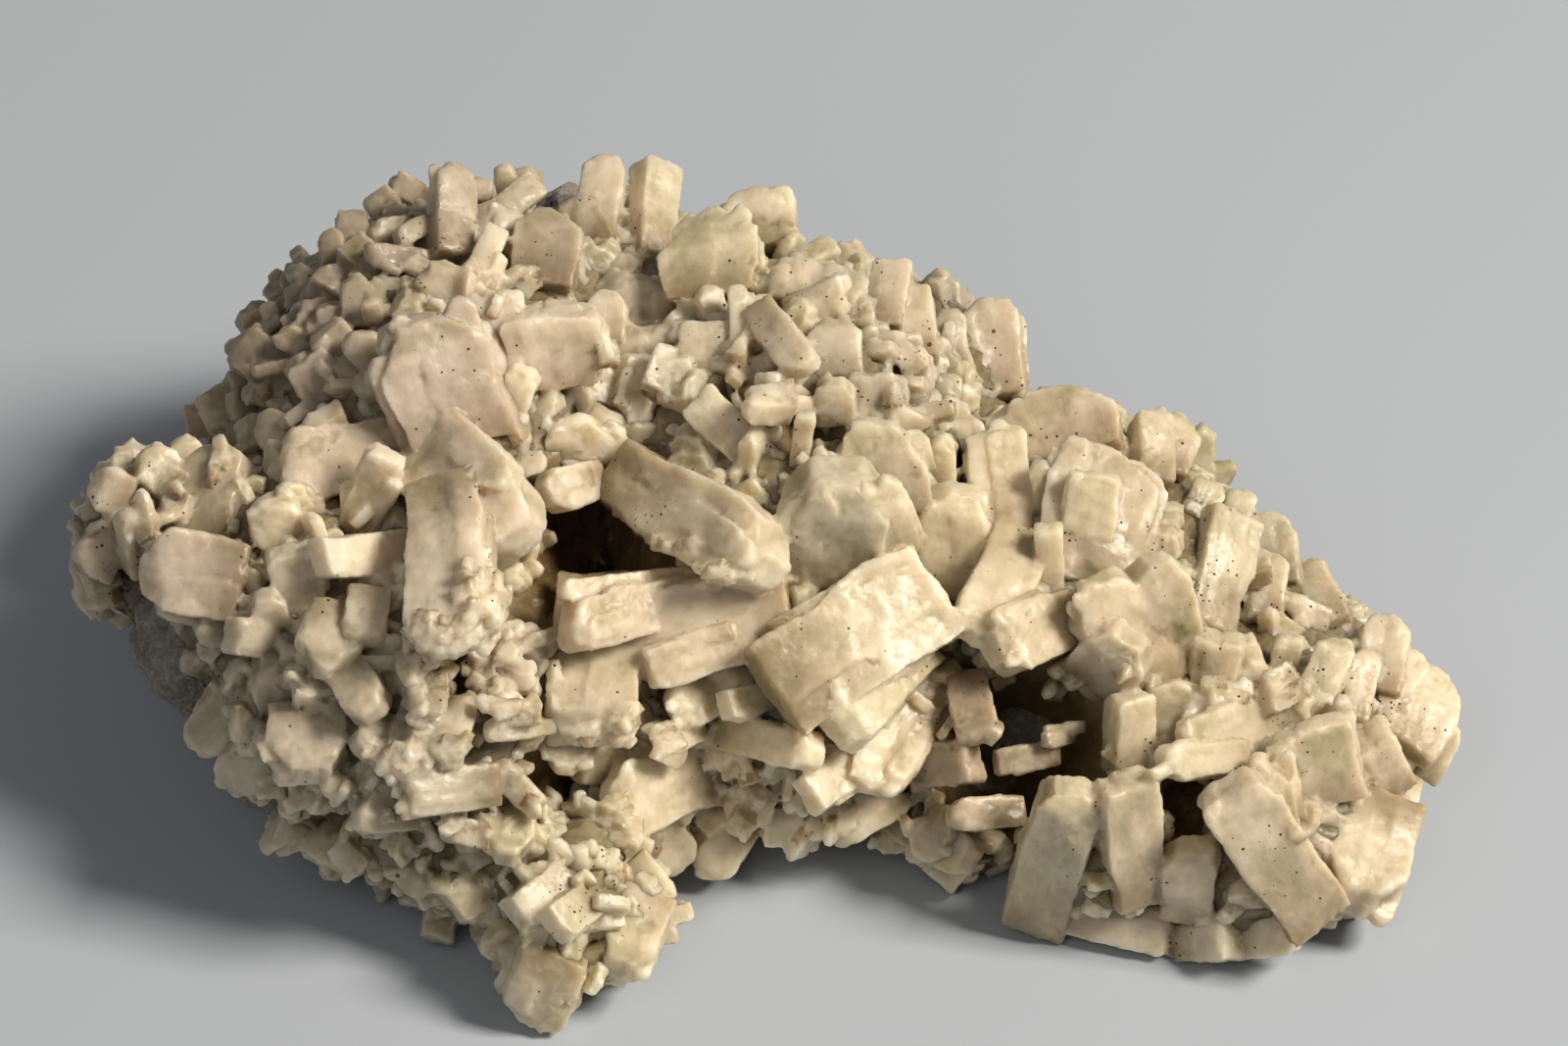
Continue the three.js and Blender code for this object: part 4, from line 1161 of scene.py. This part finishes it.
def speck_group():
    """Dirt specks: small dark spots in some cells of a fine pattern."""
    tree = bpy.data.node_groups.new("dirt_specks", "ShaderNodeTree")
    group_socket(tree, "Vector", "NodeSocketVector", False)
    group_socket(tree, "Scale", "NodeSocketFloat", False)
    group_socket(tree, "Share", "NodeSocketFloat", False)
    group_socket(tree, "Mask", "NodeSocketFloat", True)
    n = Nodes(tree)
    start = tree.nodes.new("NodeGroupInput")
    stop = tree.nodes.new("NodeGroupOutput")
    cells = n.add("ShaderNodeTexVoronoi")
    n.join(start.outputs["Vector"], cells.inputs["Vector"])
    n.join(start.outputs["Scale"], cells.inputs["Scale"])
    split = n.add("ShaderNodeSeparateColor")
    n.join(cells.outputs["Color"], split.inputs["Color"])
    reach = n.math("ADD", n.math("MULTIPLY", split.outputs[1], 0.27), 0.05)
    near = n.math("LESS_THAN", cells.outputs["Distance"], reach)
    chosen = n.math("LESS_THAN", split.outputs[0], start.outputs["Share"])
    n.join(n.math("MULTIPLY", near, chosen), stop.inputs["Mask"])
    return tree


specks = speck_group()


def add_specks(n, vector, scale, share):
    node = n.tree.nodes.new("ShaderNodeGroup")
    node.node_tree = specks
    n.join(vector, node.inputs["Vector"])
    node.inputs["Scale"].default_value = scale
    if isinstance(share, (int, float)):
        node.inputs["Share"].default_value = share
    else:
        n.join(share, node.inputs["Share"])
    return node.outputs["Mask"]


PALER = (1.13, 1.16, 1.22)


def crystal_material(name, base_shade_reach, striation):
    material = bpy.data.materials.new(name)
    material.use_nodes = True
    tree = material.node_tree
    n = Nodes(tree)
    shader = tree.nodes["Principled BSDF"]
    own = n.add("ShaderNodeAttribute", attribute_name="grain").outputs["Vector"]
    tint = n.add("ShaderNodeAttribute", attribute_name="tint").outputs["Color"]
    rise = n.add("ShaderNodeAttribute", attribute_name="rise").outputs["Fac"]
    place = n.add("ShaderNodeTexCoord").outputs["Object"]

    clouds = n.noise(place, 260, 3)
    milk = n.noise(n.stretch(own, (480, 480, 260)), 1.0, 4, 0.6)
    frost = n.noise(place, 1500, 5, 0.75)
    pits = n.noise(place, 640, 4, 0.6)
    lines = n.noise(n.stretch(own, (2600, 1600, 130)), 1.0, 4, 0.65)
    fine = n.noise(place, 2600, 4, 0.65)
    rim = n.add("ShaderNodeAttribute", attribute_name="rim").outputs["Fac"]

    colour = n.mix(n.ramp(clouds, 0.38, 0.62), n.mix(1.0, tint, (0.88, 0.88, 0.84), "MULTIPLY"), tint)
    colour = n.mix(n.ramp(milk, 0.44, 0.66, 0.0, 0.5), colour, n.mix(1.0, colour, (0.74, 0.77, 0.66), "MULTIPLY"))
    pale = n.mix(n.ramp(lines, 0.5, 0.75, 0.0, 0.2), (1.0, 1.0, 1.0), PALER)
    colour = n.mix(1.0, colour, pale, "MULTIPLY")
    pale = n.mix(n.ramp(frost, 0.56, 0.7, 0.0, 0.9), (1.0, 1.0, 1.0), PALER)
    colour = n.mix(1.0, colour, pale, "MULTIPLY")
    core = n.ramp(rim, 0.0, 0.6, 0.7, 0.0)
    colour = n.mix(core, colour, n.mix(1.0, colour, (0.80, 0.83, 0.71), "MULTIPLY"))
    # Painted highlight: edges and tips of the crystals paler.
    pale = n.mix(n.math("MULTIPLY", rim, 0.85), (1.0, 1.0, 1.0), PALER)
    colour = n.mix(1.0, colour, pale, "MULTIPLY")
    # Painted shade: darker towards the roots of the crystals, in patches, and all over the crust between them.
    deep = n.ramp(rise, 0.0, base_shade_reach, 1.0, 0.0)
    patchy = n.ramp(n.noise(place, 90, 3), 0.3, 0.7, 0.45, 1.0)
    deep = n.math("MULTIPLY", deep, patchy)
    colour = n.mix(deep, colour, n.mix(1.0, colour, (0.42, 0.35, 0.25), "MULTIPLY"))
    dirt = n.add("ShaderNodeAttribute", attribute_name="dirt").outputs["Fac"]
    dirt_zone = n.ramp(n.noise(place, 190, 4), 0.47, 0.62, 0.03, 1.0)
    dirt_zone = n.math("MULTIPLY", dirt_zone, n.ramp(rise, 0.25, 0.8, 1.0, 0.14))
    dirt_zone = n.math("MULTIPLY", dirt_zone, dirt)
    dirty = add_specks(n, place, 1900, dirt_zone)
    colour = n.mix(dirty, colour, (0.025, 0.018, 0.012))
    rust = add_specks(n, place, 1000, 0.004)
    colour = n.mix(rust, colour, (0.2, 0.05, 0.025))
    n.join(colour, shader.inputs["Base Color"])

    gloss = n.ramp(n.noise(place, 420, 3), 0.3, 0.7, 0.27, 0.5)
    n.join(n.math("ADD", gloss, n.math("MULTIPLY", dirty, 0.3)), shader.inputs["Roughness"])
    sugar = n.add("ShaderNodeTexVoronoi", Scale=1300.0)
    n.join(place, sugar.inputs["Vector"])
    height = n.math("ADD", n.math("MULTIPLY", lines, striation), n.math("MULTIPLY", fine, 0.3))
    height = n.math("ADD", height, n.math("MULTIPLY", sugar.outputs["Distance"], 0.4))
    height = n.math("ADD", height, n.math("MULTIPLY", pits, 0.9))
    bump = n.add("ShaderNodeBump", Strength=0.45, Distance=0.0002)
    n.join(height, bump.inputs["Height"])
    n.join(bump.outputs["Normal"], shader.inputs["Normal"])
    shader.inputs["Subsurface Weight"].default_value = 0.95
    shader.inputs["Subsurface Radius"].default_value = (1.0, 0.9, 0.75)
    shader.inputs["Subsurface Scale"].default_value = 0.0036
    shader.inputs["Specular IOR Level"].default_value = 0.5
    shader.inputs["IOR"].default_value = 1.5
    return material


def rock_material():
    material = bpy.data.materials.new("grey_brown_rock")
    material.use_nodes = True
    tree = material.node_tree
    n = Nodes(tree)
    shader = tree.nodes["Principled BSDF"]
    place = n.add("ShaderNodeTexCoord").outputs["Object"]
    broad = n.noise(place, 120, 4)
    fine = n.noise(place, 1500, 5, 0.7)
    colour = n.mix(n.ramp(broad, 0.35, 0.65), (0.12, 0.10, 0.08), (0.24, 0.21, 0.18))
    colour = n.mix(n.ramp(fine, 0.45, 0.7, 0.0, 0.6), colour, (0.46, 0.43, 0.38))
    colour = n.mix(add_specks(n, place, 700, 0.3), colour, (0.05, 0.04, 0.035))
    n.join(colour, shader.inputs["Base Color"])
    n.join(n.ramp(fine, 0.3, 0.7, 0.75, 0.95), shader.inputs["Roughness"])
    bump = n.add("ShaderNodeBump", Strength=0.8, Distance=0.0004)
    n.join(fine, bump.inputs["Height"])
    n.join(bump.outputs["Normal"], shader.inputs["Normal"])
    return material


blade_finish = crystal_material("milky_blades", 0.5, 0.4)
ground_finish = crystal_material("crust_between", 0.5, 0.3)
rock_finish = rock_material()

for piece in pieces:
    piece.data.materials.clear()
    finish = ground_finish if piece is crust else blade_finish
    piece.data.materials.append(finish)
    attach(piece, "root")
    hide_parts("stilbite_crystals")
rock.data.materials.clear()
rock.data.materials.append(rock_finish)
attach(rock, "root")
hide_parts("matrix")
for piece in [*pieces, rock]:
    print(piece.name, len(piece.data.polygons), "faces")

# ---------- stage, light, camera

clear_selection()
bpy.ops.mesh.primitive_plane_add(size=4, location=(0, 0, 0))
floor = bpy.context.active_object
floor.name = "floor"
pale = bpy.data.materials.new("pale_floor")
pale.use_nodes = True
pale.node_tree.nodes["Principled BSDF"].inputs["Base Color"].default_value = (0.42, 0.46, 0.52, 1)
pale.node_tree.nodes["Principled BSDF"].inputs["Roughness"].default_value = 0.8
floor.data.materials.append(pale)
bpy.context.scene.view_settings.view_transform = "Standard"


def aim(thing, target):
    direction = Vector(target) - thing.location
    thing.rotation_euler = direction.to_track_quat("-Z", "Y").to_euler()


def soft_light(name, direction, distance, size, power, colour):
    data = bpy.data.lights.new(name, "AREA")
    data.shape = "SQUARE"
    data.size = size
    data.energy = power
    data.color = colour
    light = bpy.data.objects.new(name, data)
    bpy.context.scene.collection.objects.link(light)
    light.location = MIDDLE * MM + unit(np.array(direction)) * distance
    aim(light, MIDDLE * MM)
    return light


soft_light("key", RIGHT * 0.66 + PLANE_UP * 0.42 + PLANE_OUT * 0.62, 1.5, 0.45, 31, (1.0, 0.92, 0.80))
soft_light("fill", -RIGHT * 0.3 + PLANE_UP * 0.1 + PLANE_OUT * 0.9, 1.5, 0.9, 3.2, (1.0, 0.95, 0.88))
world = bpy.data.worlds.new("studio")
bpy.context.scene.world = world
world.use_nodes = True
world.node_tree.nodes["Background"].inputs["Color"].default_value = (0.9, 0.92, 0.95, 1)
world.node_tree.nodes["Background"].inputs["Strength"].default_value = 0.12

camera_data = bpy.data.cameras.new("camera")
camera_data.sensor_width = 36
camera_data.lens = 180
camera = bpy.data.objects.new("camera", camera_data)
bpy.context.scene.collection.objects.link(camera)
camera.location = EYE * MM
aim(camera, MIDDLE * MM)
bpy.context.scene.camera = camera
